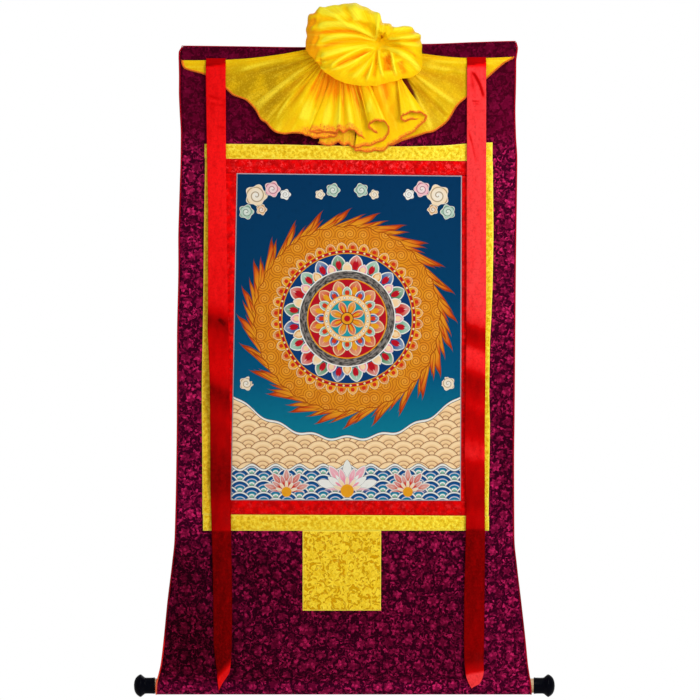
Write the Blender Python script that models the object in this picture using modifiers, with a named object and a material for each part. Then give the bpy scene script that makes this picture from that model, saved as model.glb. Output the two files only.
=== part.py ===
"""Hanging scroll: a brocade cloth on a wooden roller, with framed panels, two ribbons and a gathered veil.

Metres, +Z up. The front faces -Y. The origin is the middle of the cloth's top edge. "Drop" is how far
a point lies below the origin, and "out" is how far it stands in front of the plane y = 0, in which the
cloth's front hangs.
"""

import math
from collections import namedtuple

import bmesh
import bpy
import numpy as np

GAP = 0.0003  # between pieces that are sewn or fitted together

# The cloth: its two long edges, its top edge and the low waves in which it hangs.
CLOTH_THICKNESS = 0.0015
CLOTH_COLUMNS = 14
CLOTH_ROWS = 33
HEM_DEPTH = 0.026
HEM_LAYER_GAP = 0.0005
HEM_TURN_STEPS = 4
TOP_SLOPE_FADES_AT = 0.060
WAVES_START, WAVES_FULL = 0.050, 0.240
WAVES_FADE, WAVES_END = 1.000, 1.150

Edge = namedtuple("Edge", "drop left right")
CLOTH_EDGES = (
    Edge(0.000, -0.3050, 0.3130),
    Edge(0.012, -0.3105, 0.3145),
    Edge(0.060, -0.3095, 0.3130),
    Edge(0.140, -0.3065, 0.3110),
    Edge(0.360, -0.3105, 0.3125),
    Edge(0.690, -0.3140, 0.3095),
    Edge(0.910, -0.3180, 0.3095),
    Edge(0.960, -0.3235, 0.3145),
    Edge(1.025, -0.3310, 0.3220),
    Edge(1.100, -0.3385, 0.3300),
    Edge(1.145, -0.3425, 0.3345),
    Edge(1.170, -0.3480, 0.3380),
    Edge(1.200, -0.3490, 0.3415),
)

TopEdge = namedtuple("TopEdge", "across rise")
CLOTH_TOP = (
    TopEdge(-0.315, -0.0015),
    TopEdge(-0.200, -0.0030),
    TopEdge(-0.080, -0.0030),
    TopEdge(0.000, 0.0000),
    TopEdge(0.150, 0.0025),
    TopEdge(0.240, 0.0060),
    TopEdge(0.315, 0.0075),
)

Wave = namedtuple("Wave", "height across down phase")  # cycles for each metre across and down
CLOTH_WAVES = (
    Wave(0.0018, 2.3, 0.4, 0.6),
    Wave(0.0012, -1.1, 1.7, 2.1),
    Wave(0.0006, 0.9, 2.4, 4.4),
)

# The roller: the cloth's foot wraps round it, and a knob closes each end.
ROLLER_DROP = 1.1827
ROLLER_RADIUS = 0.0133
ROLLER_LEFT, ROLLER_RIGHT = -0.3532, 0.3452
ROLLER_SEGMENTS = 32
WRAP_RADIUS = 0.01475  # of the middle of the cloth's thickness
WRAP_STEPS = 17
WRAP_SEAM_RISE = 0.018  # from the roller's axis up to the seam that closes the wrap
SEAM_ALLOWANCE = 0.006
TENON_RADIUS, TENON_LENGTH = 0.0090, 0.012

KnobRing = namedtuple("KnobRing", "length radius")
KNOB_RINGS = (  # from the outer end to the end that meets the roller
    KnobRing(0.0390, 0.0000),
    KnobRing(0.0385, 0.0060),
    KnobRing(0.0365, 0.0125),
    KnobRing(0.0330, 0.0175),
    KnobRing(0.0290, 0.0203),
    KnobRing(0.0255, 0.0208),
    KnobRing(0.0225, 0.0196),
    KnobRing(0.0205, 0.0172),
    KnobRing(0.0185, 0.0152),
    KnobRing(0.0150, 0.0148),
    KnobRing(0.0060, 0.0150),
    KnobRing(0.0008, 0.0154),
    KnobRing(0.0000, 0.0148),
)
KNOB_SEGMENTS = 28

# Red piping along the two long edges.
PIPING_RADIUS = 0.0011
PIPING_TOP = 0.003
PIPING_WRAP_STEPS = 10  # it goes this many steps of the wrap round the roller

# The sewn-on panels, as four corners each.
PANEL_THICKNESS = 0.0010
PANEL_LIFT = 0.0004
PANEL_CELL = 0.040
SEAM = 0.0003

Corners = namedtuple("Corners", "left_top right_top left_bottom right_bottom")  # (across, drop) each
PICTURE = Corners((-0.2000, 0.2395), (0.2095, 0.2425), (-0.2115, 0.8390), (0.2080, 0.8390))
RED_FRAME = Corners((-0.2345, 0.2110), (0.2410, 0.2145), (-0.2365, 0.8660), (0.2355, 0.8660))
YELLOW_FRAME = Corners((-0.2620, 0.1825), (0.2695, 0.1825), (-0.2650, 0.8965), (0.2630, 0.8965))
DOOR_PATCH = Corners((-0.0810, 0.8968), (0.0640, 0.8968), (-0.0810, 1.0440), (0.0635, 1.0440))

# The ribbons. "out" is from the hanging cloth to the ribbon's back, and "bow" is how much further
# forward the ribbon's middle stands than its edges.
RIBBON_THICKNESS = 0.0010
RIBBON_COLUMNS = 4
RIBBON_ROWS = 44
RibbonRow = namedtuple("RibbonRow", "drop left right out bow")
RIBBON_LEFT = (
    RibbonRow(0.0245, -0.2590, -0.2240, 0.0034, 0.0000),
    RibbonRow(0.0360, -0.2595, -0.2240, 0.0036, 0.0000),
    RibbonRow(0.0400, -0.2595, -0.2238, 0.0056, 0.0004),
    RibbonRow(0.0600, -0.2590, -0.2235, 0.0060, 0.0006),
    RibbonRow(0.1900, -0.2575, -0.2222, 0.0060, 0.0010),
    RibbonRow(0.4700, -0.2575, -0.2222, 0.0110, 0.0010),
    RibbonRow(0.5200, -0.2560, -0.2220, 0.0090, 0.0015),
    RibbonRow(0.6200, -0.2530, -0.2210, 0.0130, 0.0030),
    RibbonRow(0.7200, -0.2510, -0.2190, 0.0070, 0.0040),
    RibbonRow(0.7450, -0.2500, -0.2185, 0.0085, 0.0040),
    RibbonRow(0.8550, -0.2475, -0.2160, 0.0035, 0.0045),
    RibbonRow(0.8950, -0.2460, -0.2150, 0.0075, 0.0045),
    RibbonRow(1.0200, -0.2450, -0.2135, 0.0040, 0.0045),
    RibbonRow(1.1150, -0.2440, -0.2130, 0.0022, 0.0035),
    RibbonRow(1.1400, -0.2425, -0.2135, 0.0060, 0.0025),
    RibbonRow(1.1600, -0.2410, -0.2145, 0.0128, 0.0015),
    RibbonRow(1.1740, -0.2400, -0.2195, 0.0152, 0.0008),
    RibbonRow(1.1830, -0.2375, -0.2270, 0.0156, 0.0004),
    RibbonRow(1.1900, -0.2360, -0.2345, 0.0154, 0.0000),
)
RIBBON_RIGHT = (
    RibbonRow(0.0225, 0.2220, 0.2575, 0.0025, 0.0000),
    RibbonRow(0.0340, 0.2222, 0.2580, 0.0027, 0.0000),
    RibbonRow(0.0380, 0.2222, 0.2580, 0.0046, 0.0004),
    RibbonRow(0.0600, 0.2222, 0.2580, 0.0060, 0.0010),
    RibbonRow(0.1900, 0.2215, 0.2570, 0.0070, 0.0010),
    RibbonRow(0.4300, 0.2205, 0.2565, 0.0110, 0.0010),
    RibbonRow(0.5000, 0.2205, 0.2560, 0.0090, 0.0015),
    RibbonRow(0.6200, 0.2205, 0.2560, 0.0115, 0.0020),
    RibbonRow(0.7200, 0.2205, 0.2560, 0.0080, 0.0025),
    RibbonRow(0.7700, 0.2205, 0.2555, 0.0095, 0.0025),
    RibbonRow(0.8500, 0.2205, 0.2550, 0.0045, 0.0035),
    RibbonRow(0.8900, 0.2205, 0.2550, 0.0075, 0.0035),
    RibbonRow(1.0000, 0.2190, 0.2545, 0.0040, 0.0040),
    RibbonRow(1.1200, 0.2170, 0.2540, 0.0024, 0.0035),
    RibbonRow(1.1450, 0.2175, 0.2540, 0.0085, 0.0020),
    RibbonRow(1.1640, 0.2205, 0.2520, 0.0138, 0.0010),
    RibbonRow(1.1760, 0.2250, 0.2450, 0.0153, 0.0006),
    RibbonRow(1.1860, 0.2315, 0.2335, 0.0156, 0.0000),
)

# The veil: a fan of folds, each from the gather to the hem. A fold with a high hem_out is a ridge and
# one with a low hem_out a hollow; "sag" is how far its middle hangs under the straight line.
VEIL_THICKNESS = 0.0012
VEIL_ROWS = 8
VEIL_COLUMNS_A_FOLD = 2
VEIL_OUT_EASE = 2.6
Fold = namedtuple("Fold", "top_x top_drop hem_x hem_drop top_out hem_out sag")
VEIL_FOLDS = (
    Fold(-0.046, 0.004, -0.3035, 0.0275, 0.030, 0.0017, 0.008),
    Fold(-0.046, 0.007, -0.3035, 0.0440, 0.026, 0.0017, 0.007),
    Fold(-0.045, 0.010, -0.2630, 0.0530, 0.022, 0.0019, 0.005),
    Fold(-0.044, 0.013, -0.2300, 0.0720, 0.021, 0.0021, 0.004),
    Fold(-0.043, 0.016, -0.2090, 0.0910, 0.021, 0.0060, 0.003),
    Fold(-0.042, 0.019, -0.1840, 0.1010, 0.020, 0.0050, 0.002),
    Fold(-0.041, 0.022, -0.1670, 0.1150, 0.022, 0.0120, 0.000),
    Fold(-0.040, 0.025, -0.1530, 0.1370, 0.019, 0.0055, 0.000),
    Fold(-0.038, 0.028, -0.1320, 0.1550, 0.022, 0.0140, 0.000),
    Fold(-0.035, 0.030, -0.1130, 0.1625, 0.018, 0.0070, 0.000),
    Fold(-0.032, 0.032, -0.0920, 0.1625, 0.019, 0.0080, 0.000),
    Fold(-0.028, 0.034, -0.0710, 0.1640, 0.023, 0.0160, 0.000),
    Fold(-0.022, 0.036, -0.0520, 0.1700, 0.018, 0.0090, 0.000),
    Fold(-0.014, 0.038, -0.0340, 0.1720, 0.018, 0.0100, 0.000),
    Fold(-0.006, 0.040, -0.0190, 0.1740, 0.022, 0.0170, 0.000),
    Fold(0.000, 0.042, -0.0070, 0.1720, 0.020, 0.0130, 0.000),
    Fold(0.005, 0.043, 0.0030, 0.1710, 0.022, 0.0170, 0.000),
    Fold(0.010, 0.044, 0.0100, 0.1750, 0.018, 0.0080, 0.000),
    Fold(0.016, 0.044, 0.0230, 0.1780, 0.022, 0.0170, 0.000),
    Fold(0.022, 0.044, 0.0340, 0.1830, 0.018, 0.0100, 0.000),
    Fold(0.029, 0.044, 0.0460, 0.1870, 0.022, 0.0190, 0.000),
    Fold(0.036, 0.043, 0.0580, 0.1850, 0.024, 0.0240, 0.000),
    Fold(0.043, 0.042, 0.0700, 0.1830, 0.022, 0.0200, 0.000),
    Fold(0.049, 0.041, 0.0800, 0.1760, 0.018, 0.0110, 0.000),
    Fold(0.055, 0.040, 0.0930, 0.1700, 0.021, 0.0190, 0.000),
    Fold(0.061, 0.039, 0.1080, 0.1600, 0.023, 0.0240, 0.000),
    Fold(0.067, 0.038, 0.1250, 0.1460, 0.022, 0.0230, 0.000),
    Fold(0.073, 0.036, 0.1410, 0.1330, 0.019, 0.0190, 0.000),
    Fold(0.076, 0.034, 0.1470, 0.1270, 0.016, 0.0150, 0.000),
    Fold(0.073, 0.033, 0.1390, 0.1380, 0.013, 0.0110, 0.000),
    Fold(0.070, 0.032, 0.1200, 0.1570, 0.011, 0.0090, 0.000),
    Fold(0.069, 0.031, 0.0980, 0.1780, 0.010, 0.0080, 0.000),
    Fold(0.069, 0.030, 0.0740, 0.1935, 0.009, 0.0066, 0.000),
    Fold(0.072, 0.028, 0.0900, 0.1850, 0.007, 0.0052, 0.000),
    Fold(0.074, 0.026, 0.1160, 0.1750, 0.006, 0.0045, 0.000),
    Fold(0.077, 0.024, 0.1420, 0.1660, 0.008, 0.0080, 0.000),
    Fold(0.079, 0.022, 0.1650, 0.1560, 0.007, 0.0060, 0.000),
    Fold(0.081, 0.020, 0.1830, 0.1430, 0.007, 0.0040, 0.000),
    Fold(0.083, 0.018, 0.1960, 0.1220, 0.008, 0.0050, 0.002),
    Fold(0.085, 0.016, 0.2140, 0.1010, 0.008, 0.0040, 0.003),
    Fold(0.087, 0.014, 0.2420, 0.0770, 0.009, 0.0021, 0.004),
    Fold(0.089, 0.012, 0.2700, 0.0550, 0.010, 0.0019, 0.005),
    Fold(0.091, 0.010, 0.3000, 0.0330, 0.010, 0.0017, 0.006),
    Fold(0.091, 0.008, 0.3070, 0.0250, 0.011, 0.0017, 0.008),
)

# The puff over the gather: its outline round the knot, its section and its pleats.
KNOT_X, KNOT_DROP = 0.058, 0.000
PUFF_COLUMNS = 72
PUFF_RINGS = 13
Outline = namedtuple("Outline", "angle reach")  # degrees, counter-clockwise from +X as seen from the front
PUFF_OUTLINE = (
    Outline(0, 0.082),
    Outline(13, 0.077),
    Outline(28, 0.071),
    Outline(52, 0.051),
    Outline(78, 0.045),
    Outline(90, 0.057),
    Outline(104, 0.069),
    Outline(128, 0.099),
    Outline(141, 0.115),
    Outline(152, 0.133),
    Outline(160, 0.136),
    Outline(175, 0.133),
    Outline(184, 0.133),
    Outline(192, 0.121),
    Outline(208, 0.110),
    Outline(227, 0.095),
    Outline(248, 0.083),
    Outline(265, 0.077),
    Outline(283, 0.073),
    Outline(303, 0.076),
    Outline(320, 0.089),
    Outline(331, 0.091),
    Outline(345, 0.085),
    Outline(360, 0.082),
)
Section = namedtuple("Section", "along reach out")  # from the knot over the front to the middle of the back
PUFF_SECTION = (
    Section(0.00, 0.00, 0.0340),
    Section(0.08, 0.12, 0.0340),
    Section(0.18, 0.30, 0.0500),
    Section(0.32, 0.56, 0.0680),
    Section(0.46, 0.80, 0.0640),
    Section(0.58, 0.95, 0.0470),
    Section(0.66, 1.00, 0.0310),
    Section(0.76, 0.94, 0.0150),
    Section(0.86, 0.74, 0.0050),
    Section(0.93, 0.45, 0.0005),
    Section(1.00, 0.00, 0.0003),
)
PLEAT_FADES_AT = 0.76
Pleat = namedtuple("Pleat", "angle width height")  # degrees; a pleat of negative height is a crease
PUFF_PLEATS = (
    Pleat(2, 7, 0.007),
    Pleat(17, 5, -0.007),
    Pleat(31, 8, 0.008),
    Pleat(52, 6, -0.006),
    Pleat(66, 6, 0.005),
    Pleat(83, 7, -0.020),
    Pleat(103, 8, 0.009),
    Pleat(117, 5, -0.005),
    Pleat(130, 7, 0.006),
    Pleat(148, 6, 0.008),
    Pleat(157, 4, -0.006),
    Pleat(166, 5, 0.007),
    Pleat(180, 5, 0.008),
    Pleat(189, 4, -0.006),
    Pleat(197, 5, 0.007),
    Pleat(211, 5, 0.011),
    Pleat(220, 4, -0.007),
    Pleat(230, 6, 0.006),
    Pleat(246, 6, 0.008),
    Pleat(261, 5, 0.007),
    Pleat(275, 5, 0.009),
    Pleat(286, 4, -0.009),
    Pleat(298, 6, 0.007),
    Pleat(316, 7, 0.010),
    Pleat(330, 5, -0.007),
    Pleat(343, 7, 0.008),
)

Finish = namedtuple("Finish", "colour roughness")
FINISHES = {
    "brocade_maroon": Finish((0.130, 0.002, 0.026), 0.55),
    "piping_red": Finish((0.420, 0.006, 0.010), 0.55),
    "brocade_yellow": Finish((0.780, 0.520, 0.020), 0.45),
    "brocade_red": Finish((0.620, 0.008, 0.010), 0.45),
    "painted_canvas": Finish((0.004, 0.060, 0.160), 0.70),
    "veil_silk": Finish((0.850, 0.520, 0.012), 0.35),
    "ribbon_satin": Finish((0.560, 0.003, 0.004), 0.30),
    "roller_wood": Finish((0.680, 0.480, 0.270), 0.60),
    "knob_black": Finish((0.010, 0.010, 0.013), 0.30),
}


def curve_value(keys, values, at):
    """The value at each given place of a smooth curve through the values at the keys, without overshoot."""
    spans = np.diff(keys)
    rates = np.diff(values) / spans
    slopes = np.zeros(len(keys))
    product = rates[:-1] * rates[1:]
    bends = product > 0
    slopes[1:-1][bends] = 2 * product[bends] / (rates[:-1] + rates[1:])[bends]
    at = np.clip(at, keys[0], keys[-1])
    cell = np.clip(np.searchsorted(keys, at, side="right") - 1, 0, len(keys) - 2)
    part = (at - keys[cell]) / spans[cell]
    rest = 1 - part
    ends = values[cell] * (1 + 2 * part) * rest**2 + values[cell + 1] * (1 + 2 * rest) * part**2
    pulls = slopes[cell] * part * rest**2 - slopes[cell + 1] * rest * part**2
    return ends + pulls * spans[cell]


def table_value(table, column, at):
    """A column of a table at the given values of its first column."""
    keys = np.array([row[0] for row in table], float)
    values = np.array([getattr(row, column) for row in table], float)
    return curve_value(keys, values, at)


def eased(start, end, value):
    """0 before start and 1 after end, with a soft step between them."""
    part = np.clip((value - start) / (end - start), 0, 1)
    return part * part * (3 - 2 * part)


def cloth_out(x, drop):
    """How far the hanging cloth's front stands out from the plane y = 0."""
    free = eased(WAVES_START, WAVES_FULL, drop) * (1 - eased(WAVES_FADE, WAVES_END, drop))
    turns = 2 * math.pi
    waves = sum(w.height * np.sin(turns * (w.across * x + w.down * drop) + w.phase) for w in CLOTH_WAVES)
    return free * waves


def placed(x, out, drop):
    """Points as an array of (x, y, z), from arrays of places across, out and down."""
    return np.stack(np.broadcast_arrays(x, -np.asarray(out), -np.asarray(drop)), axis=-1)


def finish(slot):
    """The material of a slot, made when it is first asked for."""
    material = bpy.data.materials.get(slot)
    if material is None:
        material = bpy.data.materials.new(slot)
        material.use_nodes = True
        shader = material.node_tree.nodes["Principled BSDF"]
        shader.inputs["Base Color"].default_value = (*FINISHES[slot].colour, 1)
        shader.inputs["Roughness"].default_value = FINISHES[slot].roughness
        shader.inputs["Metallic"].default_value = 0
    return material


def add_object(name, data, slot, collection):
    """Link an object with the given data and material, hung from the origin's empty."""
    obj = bpy.data.objects.new(name, data)
    obj.data.materials.append(finish(slot))
    obj.parent = bpy.data.objects["hanging_edge"]
    collection.objects.link(obj)
    return obj


def grid_mesh(name, points):
    """A sheet's mesh from rows of points, top row first and left to right, facing the front."""
    rows, columns = points.shape[:2]
    mesh = bpy.data.meshes.new(name)
    faces = [
        (r * columns + c, (r + 1) * columns + c, (r + 1) * columns + c + 1, r * columns + c + 1)
        for r in range(rows - 1)
        for c in range(columns - 1)
    ]
    mesh.from_pydata(points.reshape(-1, 3).tolist(), [], faces)
    mesh.shade_smooth()
    return mesh


def sheet(name, points, thickness, offset, slot, collection):
    """A cloth piece: an open surface with Solidify. Offset -1 puts the thickness behind the points."""
    obj = add_object(name, grid_mesh(name, points), slot, collection)
    solidify = obj.modifiers.new("Thickness", "SOLIDIFY")
    solidify.thickness = thickness
    solidify.offset = offset
    solidify.use_even_offset = True
    return obj


def cloth_path():
    """The cloth's middle surface seen from the side, as (depth behind y = 0, drop) from the hem's back
    layer over the top edge, down the front and round the roller."""
    front = CLOTH_THICKNESS / 2
    back = front + CLOTH_THICKNESS + HEM_LAYER_GAP
    turn_radius = (back - front) / 2
    path = [(back, HEM_DEPTH)]
    for step in range(HEM_TURN_STEPS + 1):
        angle = math.pi * step / HEM_TURN_STEPS
        path.append((front + turn_radius * (1 + math.cos(angle)), turn_radius * (1 - math.sin(angle))))
    seam_drop = ROLLER_DROP - WRAP_SEAM_RISE
    path += [(front, drop) for drop in np.linspace(turn_radius, seam_drop, CLOTH_ROWS)[1:]]
    path += wrap_path((front + back) / 2)
    path.append((back, seam_drop))
    path.append((back, seam_drop - SEAM_ALLOWANCE))
    return path


def wrap_path(axis_depth):
    """The stretch round the roller, from where the cloth meets it in front to where it leaves behind."""
    meets = math.acos(WRAP_RADIUS / WRAP_SEAM_RISE)
    return [
        (axis_depth - WRAP_RADIUS * math.sin(angle), ROLLER_DROP - WRAP_RADIUS * math.cos(angle))
        for angle in np.linspace(meets, 2 * math.pi - meets, WRAP_STEPS)
    ]


def cloth_points(path, x):
    """Points of the cloth's path at places x across, with the cloth's own waves on its hanging stretch."""
    depth = np.array([station[0] for station in path])[:, None]
    drop = np.array([station[1] for station in path])[:, None]
    rise = table_value(CLOTH_TOP, "rise", x) * (1 - eased(0, TOP_SLOPE_FADES_AT, drop))
    waves = np.where(depth > CLOTH_THICKNESS, 0, cloth_out(x, drop))
    return placed(x, waves - depth, drop - rise)


def backing_cloth(collection):
    """The brocade sheet with its top hem, flared foot and wrap."""
    path = cloth_path()
    drop = np.array([station[1] for station in path])[:, None]
    across = np.linspace(0, 1, CLOTH_COLUMNS + 1)[None, :]
    left = table_value(CLOTH_EDGES, "left", drop)
    right = table_value(CLOTH_EDGES, "right", drop)
    points = cloth_points(path, left + (right - left) * across)
    # The path starts at the back, so its first stretch runs up and the sheet still faces outwards.
    sheet("backing_cloth", points, CLOTH_THICKNESS, 0, "brocade_maroon", collection)


def piping(name, side, away, collection):
    """A round cord beside one long edge, from the top corner to under the roller."""
    path = cloth_path()
    first = next(i for i, station in enumerate(path) if station[1] > PIPING_TOP and i > HEM_TURN_STEPS)
    last = len(path) - 2 - WRAP_STEPS + PIPING_WRAP_STEPS
    path = path[first:last]
    drop = np.array([station[1] for station in path])[:, None]
    edge = table_value(CLOTH_EDGES, side, drop)
    points = cloth_points(path, edge)[:, 0]
    points[:, 0] += away * (PIPING_RADIUS + GAP)
    curve = bpy.data.curves.new(name, "CURVE")
    curve.dimensions = "3D"
    curve.bevel_depth = PIPING_RADIUS
    curve.bevel_resolution = 2
    curve.use_fill_caps = True
    spline = curve.splines.new("POLY")
    spline.points.add(len(points) - 1)
    for point, place in zip(spline.points, points):
        point.co = (*place, 1)
    add_object(name, curve, "piping_red", collection)


def panel(name, corners, slot, collection):
    """A flat piece sewn on the cloth, on the cloth's own waves."""
    (x0, d0), (x1, d1), (x2, d2), (x3, d3) = corners
    rows = max(1, round((d2 - d0) / PANEL_CELL))
    columns = max(1, round((x1 - x0) / PANEL_CELL))
    down = np.linspace(0, 1, rows + 1)[:, None]
    across = np.linspace(0, 1, columns + 1)[None, :]
    x = (x0 * (1 - across) + x1 * across) * (1 - down) + (x2 * (1 - across) + x3 * across) * down
    drop = (d0 * (1 - across) + d1 * across) * (1 - down) + (d2 * (1 - across) + d3 * across) * down
    out = cloth_out(x, drop) + PANEL_LIFT + PANEL_THICKNESS
    sheet(name, placed(x, out, drop), PANEL_THICKNESS, -1, slot, collection)


def frame(name, outer, inner, slot, collection):
    """Four strips between two outlines: the top and bottom ones run full width, as a tailor butts them."""
    inner_top_left, inner_top_right = inner.left_top[1] - SEAM, inner.right_top[1] - SEAM
    inner_bottom_left, inner_bottom_right = inner.left_bottom[1] + SEAM, inner.right_bottom[1] + SEAM
    panel(name + "_top", Corners(
        outer.left_top, outer.right_top,
        (outer.left_top[0], inner_top_left), (outer.right_top[0], inner_top_right)), slot, collection)
    panel(name + "_bottom", Corners(
        (outer.left_bottom[0], inner_bottom_left), (outer.right_bottom[0], inner_bottom_right),
        outer.left_bottom, outer.right_bottom), slot, collection)
    panel(name + "_left", Corners(
        (outer.left_top[0], inner_top_left + SEAM), (inner.left_top[0] - SEAM, inner_top_left + SEAM),
        (outer.left_bottom[0], inner_bottom_left - SEAM),
        (inner.left_bottom[0] - SEAM, inner_bottom_left - SEAM)), slot, collection)
    panel(name + "_right", Corners(
        (inner.right_top[0] + SEAM, inner_top_right + SEAM), (outer.right_top[0], inner_top_right + SEAM),
        (inner.right_bottom[0] + SEAM, inner_bottom_right - SEAM),
        (outer.right_bottom[0], inner_bottom_right - SEAM)), slot, collection)


def ribbon(name, table, collection):
    """A satin ribbon that hangs over the veil and the frames, its cut end lying on the roller."""
    drop = np.linspace(table[0].drop, table[-1].drop, RIBBON_ROWS + 1)[:, None]
    across = np.linspace(0, 1, RIBBON_COLUMNS + 1)[None, :]
    left = table_value(table, "left", drop)
    right = table_value(table, "right", drop)
    x = left + (right - left) * across
    bow = table_value(table, "bow", drop) * np.sin(math.pi * across)
    out = cloth_out(x, drop) + table_value(table, "out", drop) + bow + RIBBON_THICKNESS
    sheet(name, placed(x, out, drop), RIBBON_THICKNESS, -1, "ribbon_satin", collection)


def veil_points():
    """Rows of points down the veil's folds, from the gather to the hem."""
    numbers = np.arange(len(VEIL_FOLDS))
    places = np.linspace(0, numbers[-1], numbers[-1] * VEIL_COLUMNS_A_FOLD + 1)
    values = np.array(VEIL_FOLDS).T
    column = {name: curve_value(numbers, row, places) for name, row in zip(Fold._fields, values)}
    down = np.linspace(0, 1, VEIL_ROWS + 1)[:, None]
    x = column["top_x"] * (1 - down) + column["hem_x"] * down
    sag = column["sag"] * np.sin(math.pi * down)
    drop = column["top_drop"] * (1 - down) + column["hem_drop"] * down + sag
    out = column["hem_out"] + (column["top_out"] - column["hem_out"]) * (1 - down) ** VEIL_OUT_EASE
    return placed(x, out + cloth_out(x, drop), drop)


def puff_ring(along):
    """One ring of points round the puff, at a share of the way from the knot to the back's middle."""
    degrees = np.arange(PUFF_COLUMNS) * 360 / PUFF_COLUMNS
    reach = table_value(PUFF_OUTLINE, "reach", degrees) * table_value(PUFF_SECTION, "reach", along)
    pleats = sum(
        pleat.height * np.exp(-(((degrees - pleat.angle + 180) % 360 - 180) / pleat.width) ** 2)
        for pleat in PUFF_PLEATS
    )
    raised = math.sin(math.pi * min(along / PLEAT_FADES_AT, 1))
    turns = np.radians(degrees)
    x = KNOT_X + reach * np.cos(turns)
    drop = KNOT_DROP - reach * np.sin(turns)
    out = table_value(PUFF_SECTION, "out", along) + raised * pleats
    return placed(x, out + cloth_out(x, drop), drop)


def puff_mesh():
    """The puff as a closed form: rings from the knot to the back, closed at both middles."""
    shape = bmesh.new()
    knot = shape.verts.new((KNOT_X, -PUFF_SECTION[0].out, -KNOT_DROP))
    alongs = np.linspace(0, 1, PUFF_RINGS + 1)[1:-1]
    rings = [[shape.verts.new(point) for point in puff_ring(along)] for along in alongs]
    back = shape.verts.new((KNOT_X, -PUFF_SECTION[-1].out, -KNOT_DROP))
    for here in range(PUFF_COLUMNS):
        there = (here + 1) % PUFF_COLUMNS
        shape.faces.new((knot, rings[0][here], rings[0][there]))
        for inner, outer in zip(rings, rings[1:]):
            shape.faces.new((inner[here], outer[here], outer[there], inner[there]))
        shape.faces.new((rings[-1][here], back, rings[-1][there]))
    bmesh.ops.recalc_face_normals(shape, faces=shape.faces)
    mesh = bpy.data.meshes.new("veil_puff")
    shape.to_mesh(mesh)
    shape.free()
    mesh.shade_smooth()
    return mesh


def veil(collection, helpers):
    """The silk cover: its fan of folds joined to the puff over the gather."""
    folds = sheet("veil", veil_points(), VEIL_THICKNESS, -1, "veil_silk", collection)
    puff = add_object("veil_puff", puff_mesh(), "veil_silk", helpers)
    puff.hide_render = True
    puff.display_type = "WIRE"
    join = folds.modifiers.new("Puff", "BOOLEAN")
    join.operation = "UNION"
    join.solver = "EXACT"
    join.object = puff


def turned(name, profile, segments, slot, collection):
    """A turned piece from (radius, height) points that run down its outer side."""
    mesh = bpy.data.meshes.new(name)
    points = [(radius, 0, height) for radius, height in profile]
    mesh.from_pydata(points, [(i, i + 1) for i in range(len(points) - 1)], [])
    obj = add_object(name, mesh, slot, collection)
    screw = obj.modifiers.new("Turn", "SCREW")
    screw.steps = screw.render_steps = segments
    screw.use_merge_vertices = True
    screw.merge_threshold = 0.00001
    screw.use_smooth_shade = True
    return obj


def roller_dowel(collection):
    """The wooden rod, with a tenon at each end for the knobs."""
    half = (ROLLER_RIGHT - ROLLER_LEFT) / 2
    tip = half + TENON_LENGTH
    profile = [
        (0, tip), (TENON_RADIUS, tip), (TENON_RADIUS, half), (ROLLER_RADIUS, half),
        (ROLLER_RADIUS, -half), (TENON_RADIUS, -half), (TENON_RADIUS, -tip), (0, -tip),
    ]
    dowel = turned("roller_dowel", profile, ROLLER_SEGMENTS, "roller_wood", collection)
    dowel.location = ((ROLLER_LEFT + ROLLER_RIGHT) / 2, roller_depth(), -ROLLER_DROP)
    dowel.rotation_euler = (0, math.pi / 2, 0)


def roller_depth():
    """How far the roller's axis lies behind the plane y = 0: midway between the wrap's two layers."""
    return CLOTH_THICKNESS + HEM_LAYER_GAP / 2


def knob(name, x, turn, collection):
    """A turned knob with a socket that takes the rod's tenon."""
    socket_radius = TENON_RADIUS + GAP
    socket_depth = TENON_LENGTH + GAP
    profile = [(ring.radius, ring.length) for ring in KNOB_RINGS]
    profile += [(socket_radius, 0), (socket_radius, socket_depth), (0, socket_depth)]
    piece = turned(name, profile, KNOB_SEGMENTS, "knob_black", collection)
    piece.location = (x, roller_depth(), -ROLLER_DROP)
    piece.rotation_euler = (0, turn, 0)


def clear_scene():
    for obj in list(bpy.data.objects):
        bpy.data.objects.remove(obj)


def new_collection(name):
    collection = bpy.data.collections.new(name)
    bpy.context.scene.collection.children.link(collection)
    return collection


def main():
    clear_scene()
    collection = new_collection("hanging_scroll")
    helpers = new_collection("joined_shapes")
    origin = bpy.data.objects.new("hanging_edge", None)
    collection.objects.link(origin)

    backing_cloth(collection)
    piping("piping_left", "left", -1, collection)
    piping("piping_right", "right", 1, collection)
    frame("yellow", YELLOW_FRAME, RED_FRAME, "brocade_yellow", collection)
    frame("red", RED_FRAME, PICTURE, "brocade_red", collection)
    panel("picture_canvas", PICTURE, "painted_canvas", collection)
    panel("door_patch", DOOR_PATCH, "brocade_yellow", collection)
    ribbon("ribbon_left", RIBBON_LEFT, collection)
    ribbon("ribbon_right", RIBBON_RIGHT, collection)
    veil(collection, helpers)
    roller_dowel(collection)
    knob("knob_left", ROLLER_LEFT - GAP, -math.pi / 2, collection)
    knob("knob_right", ROLLER_RIGHT + GAP, math.pi / 2, collection)


main()
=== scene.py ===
"""Hanging scroll: the looks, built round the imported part.

Metres, +Z up. The front faces -Y. "Drop" is how far a point lies below the middle of the cloth's top
edge, and "out" is how far it stands in front of the plane y = 0.
"""

import math
from collections import namedtuple

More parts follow.
